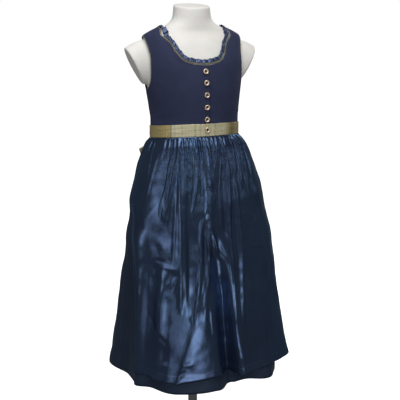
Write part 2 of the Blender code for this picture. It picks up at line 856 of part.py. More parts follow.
def make_buttons():
    for number, height in enumerate(BUTTON_HEIGHTS, 1):
        out = EASE + BODICE_WALL + lap_step(0.0) + SEAM_GAP
        outward = (on_form(0.0, height, 0.01) - on_form(0.0, height)).normalized()
        seat = on_form(0.0, height, out)
        add_object(f"button_{number}", button_mesh(seat, outward), button_metal(), 50.0)
    height = BAND_BOTTOM + BAND_HEIGHT / 2.0
    outward = Vector((0.0, -1.0, 0.0))
    seat = band_point(0.0, height, RIBBON_WALL + SEAM_GAP + 0.0004)
    add_object("band_button", button_mesh(seat, outward), button_metal(), 50.0)


# Skirt and apron


def skirt_rows(first, last):
    """Rows of a skirt width between two angles, with half a seam gap at each end."""
    cells = round((last - first) / SKIRT_STEP)
    rows = []
    for height in FINE_ROWS + WIDE_ROWS + (LAST_SKIRT_ROW, HEM):
        count = cells if height in FINE_ROWS else cells // 2
        row = []
        for i in range(count + 1):
            angle = mix(first, last, i / count)
            gap = math.degrees(SEAM_GAP / 2.0 / skirt_radius(angle, height))
            angle += gap if i == 0 else -gap if i == count else 0.0
            level = height - (SEAM_GAP if height == WAIST_SEAM else 0.0)
            if height == HEM:
                level += hem_lift(SKIRT_HEM_LIFTS, angle)
            step = 0.5 * (last - first) / count
            row.append(wall_pair(skirt_place, angle, level, step, SKIRT_WALL))
        rows.append(row)
    return rows


def make_skirt():
    front = wall_mesh(skirt_rows(-SIDE_SEAM, SIDE_SEAM))
    add_object("skirt_front", front, skirt_cloth(), 80.0)
    back = wall_mesh(skirt_rows(SIDE_SEAM, 360.0 - SIDE_SEAM))
    add_object("skirt_back", back, skirt_cloth(), 80.0)


def make_apron():
    rows = []
    fine = (BAND_BOTTOM - SEAM_GAP, 0.843) + FINE_ROWS[2:]
    for height in fine + WIDE_ROWS + (APRON_HEM,):
        cells = APRON_GATHERS * (4 if height in fine else 2)
        row = []
        for i in range(cells + 1):
            share, level = i / cells, height
            if height == APRON_HEM:
                level += hem_lift(APRON_HEM_LIFTS, apron_place(share, height)[0])
            row.append(wall_pair(apron_place, share, level, 0.5 / cells, APRON_WALL))
        rows.append(row)
    add_object("apron", wall_mesh(rows), satin(), 80.0)


# Ribbon band, ties and bow


def band_point(angle, height, out):
    """On the band's inner face, moved out. It lies on the bodice, also where that laps."""
    tilted = height + band_tilt(angle)
    under = EASE + BODICE_WALL + SEAM_GAP + 0.0001 + closing_step(angle, tilted)
    return on_form(angle, tilted, under + out)


def band_mesh(first, last, cells):
    """A length of the ribbon between two angles."""
    rows = []
    for height in (BAND_BOTTOM + BAND_HEIGHT, BAND_BOTTOM):
        row = []
        for i in range(cells + 1):
            angle = mix(first, last, i / cells)
            row.append((band_point(angle, height, RIBBON_WALL), band_point(angle, height, 0.0)))
        rows.append(row)
    return wall_mesh(rows)


def make_band():
    gap = math.degrees(SEAM_GAP / 2.0 / SKIRT[-1].half_width)
    front = band_mesh(-BAND_SEAM + gap, BAND_SEAM - gap, 32)
    add_object("band_front", front, ribbon(), 80.0)
    left = band_mesh(BAND_SEAM + gap, TIE_END, 26)
    add_object("tie_left", left, ribbon(), 80.0)
    right = band_mesh(360.0 - TIE_END, 360.0 - BAND_SEAM - gap, 26)
    add_object("tie_right", right, ribbon(), 80.0)


def round_edges(body, edges, offset):
    bmesh.ops.bevel(
        body, geom=edges, offset=offset, segments=2, affect="EDGES", profile=0.5, material=-1
    )


def bow_height():
    return BAND_BOTTOM + BAND_HEIGHT / 2.0 - BAND_DROP_TO_BACK


def make_knot():
    knot = bmesh.new()
    bmesh.ops.create_cube(knot, size=2.0)
    bmesh.ops.scale(knot, verts=knot.verts, vec=KNOT_HALF)
    round_edges(knot, knot.edges[:], KNOT_ROUND)
    bmesh.ops.translate(knot, verts=knot.verts, vec=(BOW_X, BOW_Y, bow_height()))
    add_object("bow_knot", knot, ribbon(), 60.0)


def ribbon_width(along):
    """The bow's ribbon is drawn together at the knot and opens out with distance."""
    return mix(KNOT_WIDTH, RIBBON_WIDTH, smooth(along / OPENING_LENGTH))


def loop_route(side):
    """Out from the knot and back: two layers that bulge apart between the knot and the fold.

    The loop falls steeply from the knot and flattens out, and its fold stands nearly upright.
    """
    back = Vector((0.0, 1.0, 0.0))
    away = side * (KNOT_HALF.x + SEAM_GAP + LOOP_FOLD)
    start = Vector((BOW_X + away, BOW_Y + LOOP_Y, bow_height() - 0.001))
    route = []
    steps = 16
    for i in range(steps + 1):
        turn = math.pi * i / steps
        share = 1.0 - abs(math.cos(turn)) ** 1.6
        droop = math.radians(mix(LOOP_DROOP, LOOP_END_DROOP, share))
        lean = math.radians(mix(LOOP_LEAN, LOOP_END_LEAN, share))
        along = Vector((side * math.cos(droop), 0.0, -math.sin(droop)))
        across = Vector((side * math.sin(lean), 0.0, math.cos(lean)))
        reach = LOOP_LENGTH * share
        swell = LOOP_BULGE * math.cos(turn) * mix(0.25, 1.0, math.sin(turn))
        point = start + along * reach + back * swell
        outward = back * math.cos(turn) + along * math.sin(turn)
        route.append((point, across * ribbon_width(reach), outward))
    return route


def tail_route(side):
    """Down from the knot over the skirt's back, swinging a little outwards."""
    route = []
    steps = 12
    for i in range(steps + 1):
        share = i / steps
        below = TAIL_LENGTH * share
        height = BAND_BOTTOM - TAIL_TOP - below
        section = section_at(SKIRT, height)
        plumb = math.degrees(math.atan2(section.shift - BOW_X, section.back))
        angle = 180.0 + plumb - side * (TAIL_ANGLE + TAIL_SPREAD * share**0.6)
        out = mix(TAIL_CLEAR, TAIL_CLEAR_BELOW, smooth(share * 4.0))
        out += 0.002 * math.sin(7.0 * share) * share
        point = moved_out(tail_base, angle, height, out)
        outward = moved_out(tail_base, angle, height, out + 0.01) - point
        across = Vector((-outward.y, outward.x, 0.0)).normalized()
        route.append((point, across * ribbon_width(below), outward))
    return route


def tail_base(angle, height):
    """The skirt's back without its hollows, which a tail passes over."""
    radius = plain_radius(angle, height) + SKIRT_GATHER_RISE
    folds = sum(max(fold_rise(fold, angle, height), 0.0) for fold in SKIRT_FOLDS)
    return hung_point(angle, height, radius + folds)


def make_bow():
    make_knot()
    for side, name in ((1.0, "left"), (-1.0, "right")):
        loop = strip_mesh(loop_route(side), RIBBON_WALL)
        add_object(f"bow_loop_{name}", loop, ribbon(), 60.0)
        tail = strip_mesh(tail_route(side), RIBBON_WALL)
        add_object(f"bow_tail_{name}", tail, ribbon(), 60.0)


# Dress form and stand


def stub_mesh(side):
    """A short arm, cut off by a plane that slopes in towards the underarm."""
    rings = []
    for stub in STUBS:
        middle = Vector((side * stub.across, STUB_DEPTH_CENTRE, (stub.top + stub.bottom) / 2.0))
        half = (stub.top - stub.bottom) / 2.0
        rings.append(
            [middle + Vector((0.0, stub.half_depth * p.x, half * p.y)) for p in circle(1.0, 16)]
        )
    arm = loft_mesh(rings)
    top = Vector((side * STUB_CUT_TOP[0], 0.0, STUB_CUT_TOP[1]))
    bottom = Vector((side * STUB_CUT_BOTTOM[0], 0.0, STUB_CUT_BOTTOM[1]))
    slope = top - bottom
    outward = Vector((side * slope.z, 0.0, -side * slope.x)).normalized()
    everything = arm.verts[:] + arm.edges[:] + arm.faces[:]
    bmesh.ops.bisect_plane(arm, geom=everything, plane_co=top, plane_no=outward, clear_outer=True)
    bmesh.ops.holes_fill(arm, edges=[edge for edge in arm.edges if edge.is_boundary])
    bmesh.ops.recalc_face_normals(arm, faces=arm.faces)
    return arm


def torso_mesh():
    sides = 28
    rings = []
    for section in FORM:
        ring = []
        for k in range(sides):
            point = form_point(360.0 * k / sides, section.height)
            if section.height > NECK_TILT_FROM:
                point.z += point.y * math.tan(math.radians(NECK_TILT))
            ring.append(point)
        rings.append(ring)
    return loft_mesh(rings)


def make_form():
    torso = add_object("form_torso", torso_mesh(), form_shell(), 50.0)
    for side, name in ((1.0, "arm_guide_left"), (-1.0, "arm_guide_right")):
        arm = add_object(name, stub_mesh(side), form_shell(), 50.0)
        arm.hide_render = True
        arm.display_type = "WIRE"
        join = torso.modifiers.new("arm", "BOOLEAN")
        join.operation = "UNION"
        join.solver = "EXACT"
        join.object = arm


def rod_mesh(radius, low, high, sides):
    body = bmesh.new()
    bmesh.ops.create_cone(
        body,
        cap_ends=True,
        segments=sides,
        radius1=radius,
        radius2=radius,
        depth=high - low,
        matrix=Matrix.Translation((0.0, 0.0, (high + low) / 2.0)),
    )
    return body


def make_stand():
    base = rod_mesh(BASE_RADIUS, 0.0, BASE_THICKNESS, 40)
    middle = BASE_THICKNESS / 2.0
    rim = [edge for edge in base.edges if min(vert.co.z for vert in edge.verts) > middle]
    round_edges(base, rim, BASE_ROUND)
    add_object("stand_base", base, chrome())
    low = BASE_THICKNESS + SEAM_GAP
    rod = rod_mesh(POLE_RADIUS, low, FORM[0].height - SEAM_GAP, 20)
    add_object("stand_pole", rod, chrome())
    bore = POLE_RADIUS + SEAM_GAP
    profile = (
        Turning(bore, 0.0),
        Turning(COLLAR_RADIUS, 0.0),
        Turning(COLLAR_RADIUS, COLLAR_HEIGHT * COLLAR_TAPER),
        Turning(bore + 0.004, COLLAR_HEIGHT),
        Turning(bore, COLLAR_HEIGHT),
    )
    rings = []
    for place in profile:
        lift = Vector((0.0, 0.0, low + place.height))
        rings.append([point + lift for point in circle(place.radius, 20)])
    add_object("stand_collar", loft_mesh(rings, looped=True), chrome())


def main():
    for old in list(bpy.data.objects):
        bpy.data.objects.remove(old, do_unlink=True)
    make_bodice()
    make_piping()
    make_ruche()
    make_buttons()
    make_skirt()
    make_apron()
    make_band()
    make_bow()
    make_form()
    make_stand()


main()
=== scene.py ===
"""Looks of a child's dirndl with its apron on a dress form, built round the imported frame.

Metres, +Z up. The wearer faces -Y and the wearer's left is +X. Angles are in degrees from
centre front towards the wearer's left. The tables of sections, edges and folds are those of
the part's source, so each cloth shell lies on its own solid's form.
"""

import logging
import math
from dataclasses import dataclass, field
from enum import Enum
from functools import lru_cache, partial
from typing import Callable, NamedTuple, Sequence

import bmesh
import bpy
from mathutils import Matrix, Vector, noise


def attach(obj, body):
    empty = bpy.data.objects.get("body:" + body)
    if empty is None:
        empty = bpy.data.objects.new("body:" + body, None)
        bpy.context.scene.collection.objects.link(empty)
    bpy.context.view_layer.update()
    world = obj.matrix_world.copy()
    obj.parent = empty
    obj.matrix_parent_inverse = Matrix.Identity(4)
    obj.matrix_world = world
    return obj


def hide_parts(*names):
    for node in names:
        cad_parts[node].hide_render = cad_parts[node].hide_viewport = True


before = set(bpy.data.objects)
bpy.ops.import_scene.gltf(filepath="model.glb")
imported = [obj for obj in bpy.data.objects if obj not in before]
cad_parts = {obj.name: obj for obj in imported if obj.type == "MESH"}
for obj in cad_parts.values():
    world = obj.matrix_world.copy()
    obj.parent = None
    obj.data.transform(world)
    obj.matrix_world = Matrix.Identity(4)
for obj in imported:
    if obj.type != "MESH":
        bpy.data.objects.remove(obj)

LOG = logging.getLogger("dirndl")
BODY = "root"

Colour = tuple[float, float, float]
Place = Callable[[float, float], Vector]
Material = bpy.types.Material
Shape = bmesh.types.BMesh
Socket = bpy.types.NodeSocket

# The angle of edges that stay sharp where none do
ALL_SMOOTH = 180.0


def table(kind: Callable, *rows: tuple) -> tuple:
    """A table whose rows are all of one kind, each row with the kind's own columns in order."""
    return tuple(kind(*row) for row in rows)


class Section(NamedTuple):
    """A level of the form or skirt: half width, depth to front and back, and its centre's x."""

    height: float
    half_width: float
    front: float
    back: float
    shift: float


class Edge(NamedTuple):
    """A place on the form, by its angle and its height."""

    angle: float
    height: float


Ring = Callable[[float], Edge]


class Fold(NamedTuple):
    """A fold or crease: its two ends, its half-widths in degrees and how far it stands out."""

    high: float
    low: float
    angle_high: float
    angle_low: float
    left: float
    right: float
    rise_high: float
    rise_low: float


class Lift(NamedTuple):
    """How far a hem rises above its level at an angle."""

    angle: float
    rise: float


class Track(NamedTuple):
    """A bent fold line: half-widths in degrees, its rise, and its places from the top down."""

    left: float
    right: float
    rise: float
    places: tuple[Edge, ...]

    @classmethod
    def through(cls, left: float, right: float, rise: float, *places: tuple[float, float]) -> "Track":
        """A fold line through places given by angle and height."""
        return cls(left, right, rise, table(Edge, *places))


class Pucker(NamedTuple):
    """A short soft ridge in the cloth: where it starts and ends, its half-width and its rise."""

    angle: float
    height: float
    end_angle: float
    end_height: float
    half_width: float
    rise: float


class Wave(NamedTuple):
    """A swing up and down: how far, how often in a turn of the whole, and where it starts."""

    size: float
    rate: float
    phase: float


class Crumple(NamedTuple):
    """Soft unevenness of cloth: how close together the bumps are, for each metre, and how deep."""

    scale: float
    depth: float


class Turning(NamedTuple):
    """A point of a lathe profile."""

    radius: float
    height: float


class Held(Enum):
    """How a sheet of cloth is held."""

    GATHERED = "gathered"
    HUNG = "hung"
    LAID = "laid"
    FOLDED = "folded"
    STRETCHED = "stretched"


class Side(Enum):
    """A side of the wearer, as the sign of its x."""

    LEFT = 1
    RIGHT = -1

    @property
    def word(self) -> str:
        """The side's name as the frame's nodes have it."""
        return self.name.lower()


# Walls and rooms, as the part's source has them
BODICE_WALL = 0.0018
SEAM_GAP = 0.0003
EASE = 0.0022
HEM = 0.220
APRON_HEM = 0.250
WAIST_SEAM = 0.868
BAND_BOTTOM = 0.853
BAND_HEIGHT = 0.030
BAND_DROP_TO_BACK = 0.021
UNDERARM = 0.963
LAP_OVER = 0.008
LAP_UNDER = 0.010
LAP_FADE = 0.020
LAP_GAP = 0.0008
# The lap sinks from this far past the edge of the cloth under it, and what lies on the lap sinks
# from this far past the lap's own edge
LAP_ROOM = 0.002
OVERLAY_ROOM = 0.006
BUTTON_HEIGHTS = (1.006, 0.980, 0.952, 0.923, 0.894)

# The shares of a fold's length where it starts to fade and over which it does, for a fold that
# ends in the cloth and for one that runs off at a hem
FADE_BEFORE_END = (0.82, 0.36)
FADE_AT_HEM = (1.0, 0.12)
# Beyond this many half-widths a fold or fold line has no effect
FOLD_REACH = 3.2
TRACK_REACH = 3.0
# Over how much height a fold line eases in and out: at most this, and this share of its length
TRACK_EASE = 0.030
TRACK_EASE_SHARE = 0.3
# A pucker has no effect farther than this above or below its middle
PUCKER_BAND = 0.06
# Gathers grow over the first height under the band, and fade from the second on
GATHER_GROWN = 0.012
GATHER_HELD = 0.02
# Over this height the hems' rises and falls set in
HEM_SWAY = 0.10
# Points closer than this are joined where a bent grid closes on itself
WELD = 0.00002

FORM_ROWS = table(
    Section,
    (0.652, 0.0920, 0.066, 0.072, 0.0065),
    (0.658, 0.1120, 0.082, 0.088, 0.0065),
    (0.672, 0.1240, 0.091, 0.099, 0.0065),
    (0.720, 0.1290, 0.096, 0.104, 0.0065),
    (0.785, 0.1160, 0.090, 0.093, 0.0065),
    (0.828, 0.1085, 0.085, 0.084, 0.0065),
    (0.886, 0.1085, 0.085, 0.084, 0.0065),
    (0.920, 0.1115, 0.088, 0.084, 0.0055),
    (0.963, 0.1175, 0.089, 0.086, 0.0045),
    (1.000, 0.1215, 0.086, 0.086, 0.0030),
    (1.030, 0.1235, 0.079, 0.081, 0.0020),
    (1.055, 0.1245, 0.067, 0.071, 0.0005),
    (1.074, 0.1240, 0.056, 0.059, 0.0000),
    (1.086, 0.1210, 0.048, 0.051, 0.0000),
    (1.095, 0.1070, 0.043, 0.046, 0.0000),
    (1.103, 0.0890, 0.041, 0.044, 0.0000),
    (1.111, 0.0710, 0.041, 0.043, 0.0000),
    (1.120, 0.0560, 0.041, 0.042, 0.0000),
    (1.132, 0.0480, 0.041, 0.041, 0.0000),
    (1.160, 0.0450, 0.040, 0.040, 0.0000),
)
SKIRT_ROWS = table(
    Section,
    (0.220, 0.2520, 0.1825, 0.1735, 0.0155),
    (0.272, 0.2430, 0.1771, 0.1689, 0.0153),
    (0.336, 0.2310, 0.1707, 0.1633, 0.0149),
    (0.425, 0.2175, 0.1610, 0.1550, 0.0154),
    (0.487, 0.2080, 0.1536, 0.1484, 0.0159),
    (0.537, 0.2000, 0.1482, 0.1438, 0.0157),
    (0.595, 0.1935, 0.1418, 0.1382, 0.0145),
    (0.646, 0.1810, 0.1345, 0.1315, 0.0128),
    (0.700, 0.1710, 0.1261, 0.1239, 0.0116),
    (0.736, 0.1610, 0.1188, 0.1172, 0.0116),
    (0.775, 0.1480, 0.1106, 0.1104, 0.0115),
    (0.805, 0.1360, 0.1033, 0.1037, 0.0111),
    (0.830, 0.1240, 0.0967, 0.0958, 0.0098),
    (0.845, 0.1160, 0.0911, 0.0899, 0.0081),
    (0.853, 0.1125, 0.0890, 0.0880, 0.0065),
    (0.868, 0.1125, 0.0890, 0.0880, 0.0065),
)

NECK_FRONT = table(
    Edge,
    (0.0, 1.0200), (8.0, 1.0211), (20.5, 1.0280), (29.0, 1.0440), (37.0, 1.0730), (60.0, 1.0980),
    (90.0, 1.1045),
)
NECK_BACK = table(
    Edge,
    (180.0, 1.0660), (171.0, 1.0667), (161.0, 1.0700), (148.0, 1.0820), (130.0, 1.0950),
    (90.0, 1.1045),
)
RUCHE_FRONT = table(
    Edge,
    (0.0, 1.0325), (17.3, 1.0395), (24.0, 1.0550), (31.4, 1.0800), (50.0, 1.1020), (90.0, 1.1100),
)
RUCHE_BACK = table(
    Edge,
    (180.0, 1.0780), (160.0, 1.0820), (145.0, 1.0930), (125.0, 1.1040), (90.0, 1.1100),
)
ARMHOLE_FRONT = table(
    Edge,
    (90.0, 0.9630), (81.0, 0.9695), (73.0, 0.9860), (69.0, 1.0150), (67.5, 1.0500), (76.0, 1.0775),
    (90.0, 1.0865),
)
ARMHOLE_BACK = table(
    Edge,
    (90.0, 0.9630), (100.0, 0.9695), (110.0, 0.9860), (117.0, 1.0150), (119.0, 1.0500),
    (108.0, 1.0775), (90.0, 1.0865),
)

SKIRT_FOLDS = table(
    Fold,
    (0.60, HEM, -106, -112, 8, 8, 0.000, 0.010),
    (0.75, HEM, -82, -86, 15, 24, -0.003, -0.050),
    (0.70, HEM, -68, -68, 4, 5, 0.003, 0.008),
    (0.70, HEM, -54, -56, 9, 12, 0.000, -0.018),
    (0.68, HEM, -2, 17, 14, 13, 0.000, -0.050),
    (0.60, HEM, 42, 42, 7, 6, 0.000, 0.010),
    (0.64, HEM, 72, 68, 12, 14, 0.000, -0.028),
    (0.66, HEM, 106, 110, 7, 5, 0.002, 0.014),
    (0.62, HEM, 126, 127, 8, 6, -0.001, -0.015),
    (0.70, HEM, 148, 145, 5, 8, 0.002, 0.013),
    (0.66, HEM, 170, 172, 7, 7, -0.001, -0.014),
    (0.68, HEM, 192, 190, 6, 7, 0.002, 0.012),
    (0.60, HEM, 214, 216, 9, 7, 0.000, -0.014),
    (0.66, HEM, 234, 233, 5, 6, 0.002, 0.012),
)
APRON_FOLDS = table(
    Fold,
    (0.83, 0.660, -48.0, -50.0, 2.0, 2.0, 0.003, 0.004),
    (0.83, 0.660, -41.0, -47.0, 2.0, 2.0, 0.004, 0.004),
    (0.84, 0.480, -31.0, -30.0, 11.0, 1.8, 0.004, 0.013),
    (0.56, 0.360, -48.0, -49.0, 5.0, 6.0, 0.005, 0.009),
    (0.84, 0.640, -2.0, -6.0, 3.0, 3.0, 0.004, 0.006),
    (0.66, 0.440, -7.0, -13.5, 2.2, 2.8, 0.005, 0.009),
    (0.48, APRON_HEM, -15.0, -34.0, 2.2, 15.0, 0.004, 0.012),
    (0.64, APRON_HEM, -1.0, 12.0, 9.0, 4.0, -0.005, -0.046),
    (0.60, APRON_HEM, 9.0, 16.5, 2.2, 5.0, 0.008, 0.006),
    (0.82, 0.610, 23.0, 13.0, 2.2, 2.2, 0.004, 0.004),
    (0.82, 0.380, 28.0, 20.5, 2.4, 2.4, 0.004, 0.006),
    (0.85, 0.690, 57.0, 57.0, 7.0, 7.0, 0.003, 0.006),
    (0.62, APRON_HEM, 63.0, 63.0, 10.0, 6.0, 0.000, 0.013),
    (0.70, APRON_HEM, -59.0, -60.0, 6.0, 9.0, -0.002, -0.022),
)

# How far the hems rise above their level, by angle
SKIRT_HEM_LIFTS = table(
    Lift,
    (-180.0, 0.000), (-8.0, 0.000), (6.0, -0.006), (20.0, -0.008), (30.0, 0.003), (40.0, 0.000),
    (180.0, 0.000),
)
APRON_HEM_LIFTS = table(
    Lift,
    (-62.0, 0.005), (-50.0, 0.003), (-36.0, 0.000), (-28.0, 0.006), (-18.0, 0.008), (-4.0, 0.010),
    (11.0, 0.006), (17.0, 0.000), (26.0, 0.004), (66.0, 0.005),
)

# Crisp fold lines of the apron, placed after the photograph. Lines that run off at
# the band or the hem begin or end past it
APRON_TRACKS = table(
    Track.through,
    # the drop-shaped fold and the hollow in it
    (0.9, 0.9, 0.0018, (-49.0, 0.815), (-43.5, 0.772), (-44.2, 0.714), (-50.0, 0.668), (-52.5, 0.652)),
    (0.9, 0.9, 0.0018, (-50.5, 0.800), (-49.5, 0.738), (-53.0, 0.692), (-53.0, 0.655)),
    (1.6, 1.6, -0.0016, (-46.5, 0.770), (-47.0, 0.720), (-51.0, 0.675)),
    # the long lit panel with its sharp right edge
    (2.6, 0.7, 0.0034, (-42.5, 0.880), (-38.7, 0.786), (-35.5, 0.734), (-33.5, 0.665), (-33.0, 0.589),
     (-33.0, 0.420)),
    (1.2, 1.6, -0.0016, (-39.5, 0.720), (-39.8, 0.637), (-40.0, 0.550)),
    (1.2, 3.0, -0.0024, (-31.0, 0.720), (-30.0, 0.640), (-30.0, 0.440)),
    # small folds left of the middle
    (1.2, 0.9, 0.0024, (-34.2, 0.880), (-33.5, 0.841), (-31.0, 0.780), (-30.8, 0.755)),
    (1.3, 1.3, -0.0022, (-30.5, 0.880), (-30.0, 0.830), (-28.5, 0.770)),
    (0.8, 0.8, 0.0018, (-28.2, 0.880), (-28.0, 0.818), (-26.5, 0.770)),
    (1.0, 1.0, 0.0022, (-24.2, 0.845), (-22.5, 0.822), (-17.5, 0.772), (-19.5, 0.726), (-24.0, 0.677),
     (-24.8, 0.660)),
    (1.8, 1.6, -0.0022, (-24.5, 0.812), (-21.5, 0.772), (-22.5, 0.730), (-25.5, 0.680)),
    (1.0, 1.0, 0.0018, (-18.5, 0.880), (-17.5, 0.825), (-14.5, 0.790)),
    (1.4, 1.4, -0.0022, (-15.0, 0.880), (-14.5, 0.820), (-14.0, 0.700)),
    # the streak down the middle
    (1.1, 1.1, 0.0020, (-11.5, 0.880), (-11.0, 0.841), (-12.0, 0.799), (-2.0, 0.750)),
    (2.0, 1.4, 0.0026, (-6.5, 0.880), (-5.5, 0.845), (-3.5, 0.800), (-3.0, 0.770)),
    (1.8, 2.4, 0.0040, (-10.0, 0.785), (-8.0, 0.711), (-11.0, 0.650)),
    (2.0, 1.0, 0.0034, (-6.5, 0.775), (-1.0, 0.715), (0.5, 0.680)),
    # the two arms that part below it, with a thin ridge between
    (1.5, 2.6, 0.0046, (-11.0, 0.670), (-15.2, 0.649), (-16.5, 0.612), (-17.5, 0.535), (-19.5, 0.489),
     (-21.5, 0.436), (-24.0, 0.395)),
    (1.8, 1.8, -0.0024, (-12.5, 0.640), (-13.0, 0.585), (-12.5, 0.531), (-11.0, 0.440), (-8.0, 0.350)),
    (0.7, 0.7, 0.0016, (-11.0, 0.662), (-10.0, 0.585), (-7.0, 0.531), (-1.0, 0.455), (9.0, 0.348),
     (14.5, 0.220)),
    (1.2, 1.2, 0.0030, (-9.0, 0.662), (-4.3, 0.621), (-0.2, 0.580), (6.8, 0.552), (8.3, 0.517),
     (10.7, 0.439), (14.2, 0.326), (16.8, 0.220)),
    (3.4, 1.6, 0.0044, (-5.5, 0.640), (-1.2, 0.585), (4.5, 0.552), (6.5, 0.485)),
    # the two thin lines right of the middle and the dark hollow between them
    (0.7, 0.7, 0.0015, (14.0, 0.815), (7.0, 0.730), (5.5, 0.669), (6.0, 0.630)),
    (0.7, 0.7, 0.0016, (14.5, 0.815), (15.0, 0.730), (14.5, 0.638), (14.0, 0.577), (13.0, 0.482),
     (13.4, 0.431), (12.3, 0.375)),
    (2.4, 2.4, -0.0026, (13.0, 0.790), (10.5, 0.700), (10.0, 0.600)),
    # gathers right of the middle and the bright block under them
    (1.1, 1.1, 0.0022, (13.0, 0.880), (12.5, 0.849), (6.5, 0.799), (2.0, 0.770)),
    (1.2, 1.2, 0.0020, (20.0, 0.880), (19.5, 0.835), (16.0, 0.800)),
    (1.0, 1.0, 0.0020, (27.0, 0.880), (26.0, 0.845), (18.0, 0.800)),
    (1.4, 1.2, 0.0026, (37.0, 0.880), (36.0, 0.841), (31.5, 0.784), (31.0, 0.755)),
    (1.2, 1.8, 0.0028, (42.5, 0.880), (41.0, 0.826), (38.5, 0.776), (34.0, 0.715)),
    (1.4, 1.4, -0.0016, (45.0, 0.830), (42.5, 0.776), (40.0, 0.730)),
    (2.0, 1.8, 0.0028, (48.0, 0.880), (46.5, 0.803), (45.0, 0.712)),
    (1.6, 1.6, -0.0020, (54.0, 0.880), (53.0, 0.800), (52.0, 0.740)),
    (1.4, 1.4, 0.0018, (58.0, 0.880), (58.5, 0.810), (57.0, 0.760)),
    # soft undulations of the plain panels
    (3.0, 3.0, -0.0024, (-24.0, 0.640), (-24.0, 0.540), (-25.0, 0.400)),
    (3.0, 3.5, 0.0020, (27.0, 0.760), (27.0, 0.600), (29.0, 0.400)),
    (5.0, 5.0, -0.0024, (38.0, 0.660), (39.0, 0.500), (41.0, 0.220)),
    (4.0, 4.0, 0.0020, (50.0, 0.680), (51.0, 0.480), (52.0, 0.220)),
    (3.5, 3.0, -0.0030, (-44.0, 0.480), (-44.5, 0.380), (-46.0, 0.220)),
)
SKIRT_CREASES = table(
    Fold,
    (0.846, 0.700, -64.0, -68.0, 1.6, 1.8, 0.0016, 0.0012),
    (0.846, 0.740, -75.0, -78.0, 1.8, 1.8, -0.0014, -0.0012),
    (0.640, 0.480, -74.0, -72.0, 3.0, 3.0, -0.0030, -0.0020),
    (0.560, 0.300, -98.0, -100.0, 4.0, 5.0, 0.0030, 0.0040),
    (0.846, 0.690, 84.0, 88.0, 1.8, 2.0, 0.0016, 0.0012),
    (0.720, 0.480, 92.0, 96.0, 3.5, 3.0, -0.0020, -0.0024),
    (0.846, 0.650, 118.0, 120.0, 2.0, 2.4, 0.0018, 0.0020),
    (0.700, 0.400, 136.0, 137.0, 3.0, 4.0, 0.0024, 0.0030),
    (0.846, 0.640, 159.0, 158.0, 2.2, 2.0, -0.0016, -0.0020),
    (0.620, 0.300, 181.0, 180.0, 3.0, 3.0, 0.0020, 0.0030),
    (0.846, 0.600, 203.0, 202.0, 2.4, 2.6, -0.0016, -0.0022),
    (0.700, 0.360, 224.0, 225.0, 3.4, 3.0, 0.0022, 0.0030),
    (0.846, 0.620, 247.0, 245.0, 2.2, 2.4, 0.0016, 0.0020),
)

# Short wrinkles that run across the cloth
APRON_WRINKLES = table(
    Pucker,
    (-58.5, 0.549, -33.0, 0.536, 0.0030, 0.0018),
    (-57.3, 0.560, -44.0, 0.553, 0.0032, -0.0014),
    (-54.0, 0.518, -47.0, 0.537, 0.0030, 0.0012),
    (-36.5, 0.522, -42.0, 0.484, 0.0030, 0.0016),
    (-39.0, 0.530, -45.0, 0.495, 0.0030, -0.0012),
    (-31.5, 0.772, -23.5, 0.757, 0.0036, 0.0016),
    (-30.0, 0.725, -24.0, 0.732, 0.0034, 0.0014),
    (-24.0, 0.565, -15.0, 0.561, 0.0030, 0.0008),
    (30.5, 0.566, 52.0, 0.562, 0.0034, -0.0018),
    (32.0, 0.574, 56.0, 0.570, 0.0034, 0.0012),
    (34.0, 0.470, 50.0, 0.466, 0.0036, 0.0008),
    (-62.0, 0.425, -40.0, 0.336, 0.0050, -0.0014),
    (3.0, 0.500, 10.0, 0.478, 0.0034, 0.0016),
    (3.0, 0.455, 11.0, 0.440, 0.0034, 0.0012),
    (-35.0, 0.268, -28.0, 0.286, 0.0040, -0.0020),
    (-33.0, 0.300, -22.0, 0.304, 0.0045, 0.0014),
    (-52.0, 0.290, -38.0, 0.296, 0.0050, 0.0012),
    (30.0, 0.330, 52.0, 0.345, 0.0050, 0.0012),
)
BODICE_PUCKERS = table(
    Pucker,
    (-9.0, 1.0075, -3.0, 1.0068, 0.0012, 0.0007),
    (-66.0, 0.985, -46.0, 0.972, 0.0050, 0.0008),
    (66.0, 0.985, 46.0, 0.974, 0.0050, 0.0008),
    (-72.0, 0.900, -48.0, 0.908, 0.0060, 0.0008),
    (74.0, 0.902, 50.0, 0.911, 0.0060, 0.0008),
    (-30.0, 0.894, -12.0, 0.899, 0.0040, 0.0006),
    (128.0, 0.900, 160.0, 0.906, 0.0060, 0.0010),
    (204.0, 0.905, 232.0, 0.900, 0.0060, 0.0010),
    (120.0, 0.990, 142.0, 0.980, 0.0060, 0.0008),
    (218.0, 0.980, 240.0, 0.990, 0.0060, 0.0008),
)


def smooth(value: float) -> float:
    """Eases 0 to 1, flat at both ends."""
    value = min(max(value, 0.0), 1.0)
    return value * value * (3.0 - 2.0 * value)


def mix(first: float, second: float, share: float) -> float:
    """The value at this share of the way from the first to the second."""
    return first + (second - first) * share


def wrapped(angle: float) -> float:
    """The same direction as an angle from -180 to 180 degrees."""
    return (angle + 180.0) % 360.0 - 180.0


def swing(at: float, *waves: Wave) -> float:
    """What waves add up to at a place given in radians."""
    return sum(wave.size * math.sin(wave.rate * at + wave.phase) for wave in waves)


def bell(off: float) -> float:
    """1 in the middle of a soft ridge, falling to both sides, by distance over its half-width."""
    return math.exp(-off * off)


def facing(angle: float) -> Vector:
    """The level direction straight out from the axis."""
    turn = math.radians(angle)
    return Vector((math.sin(turn), -math.cos(turn), 0.0))


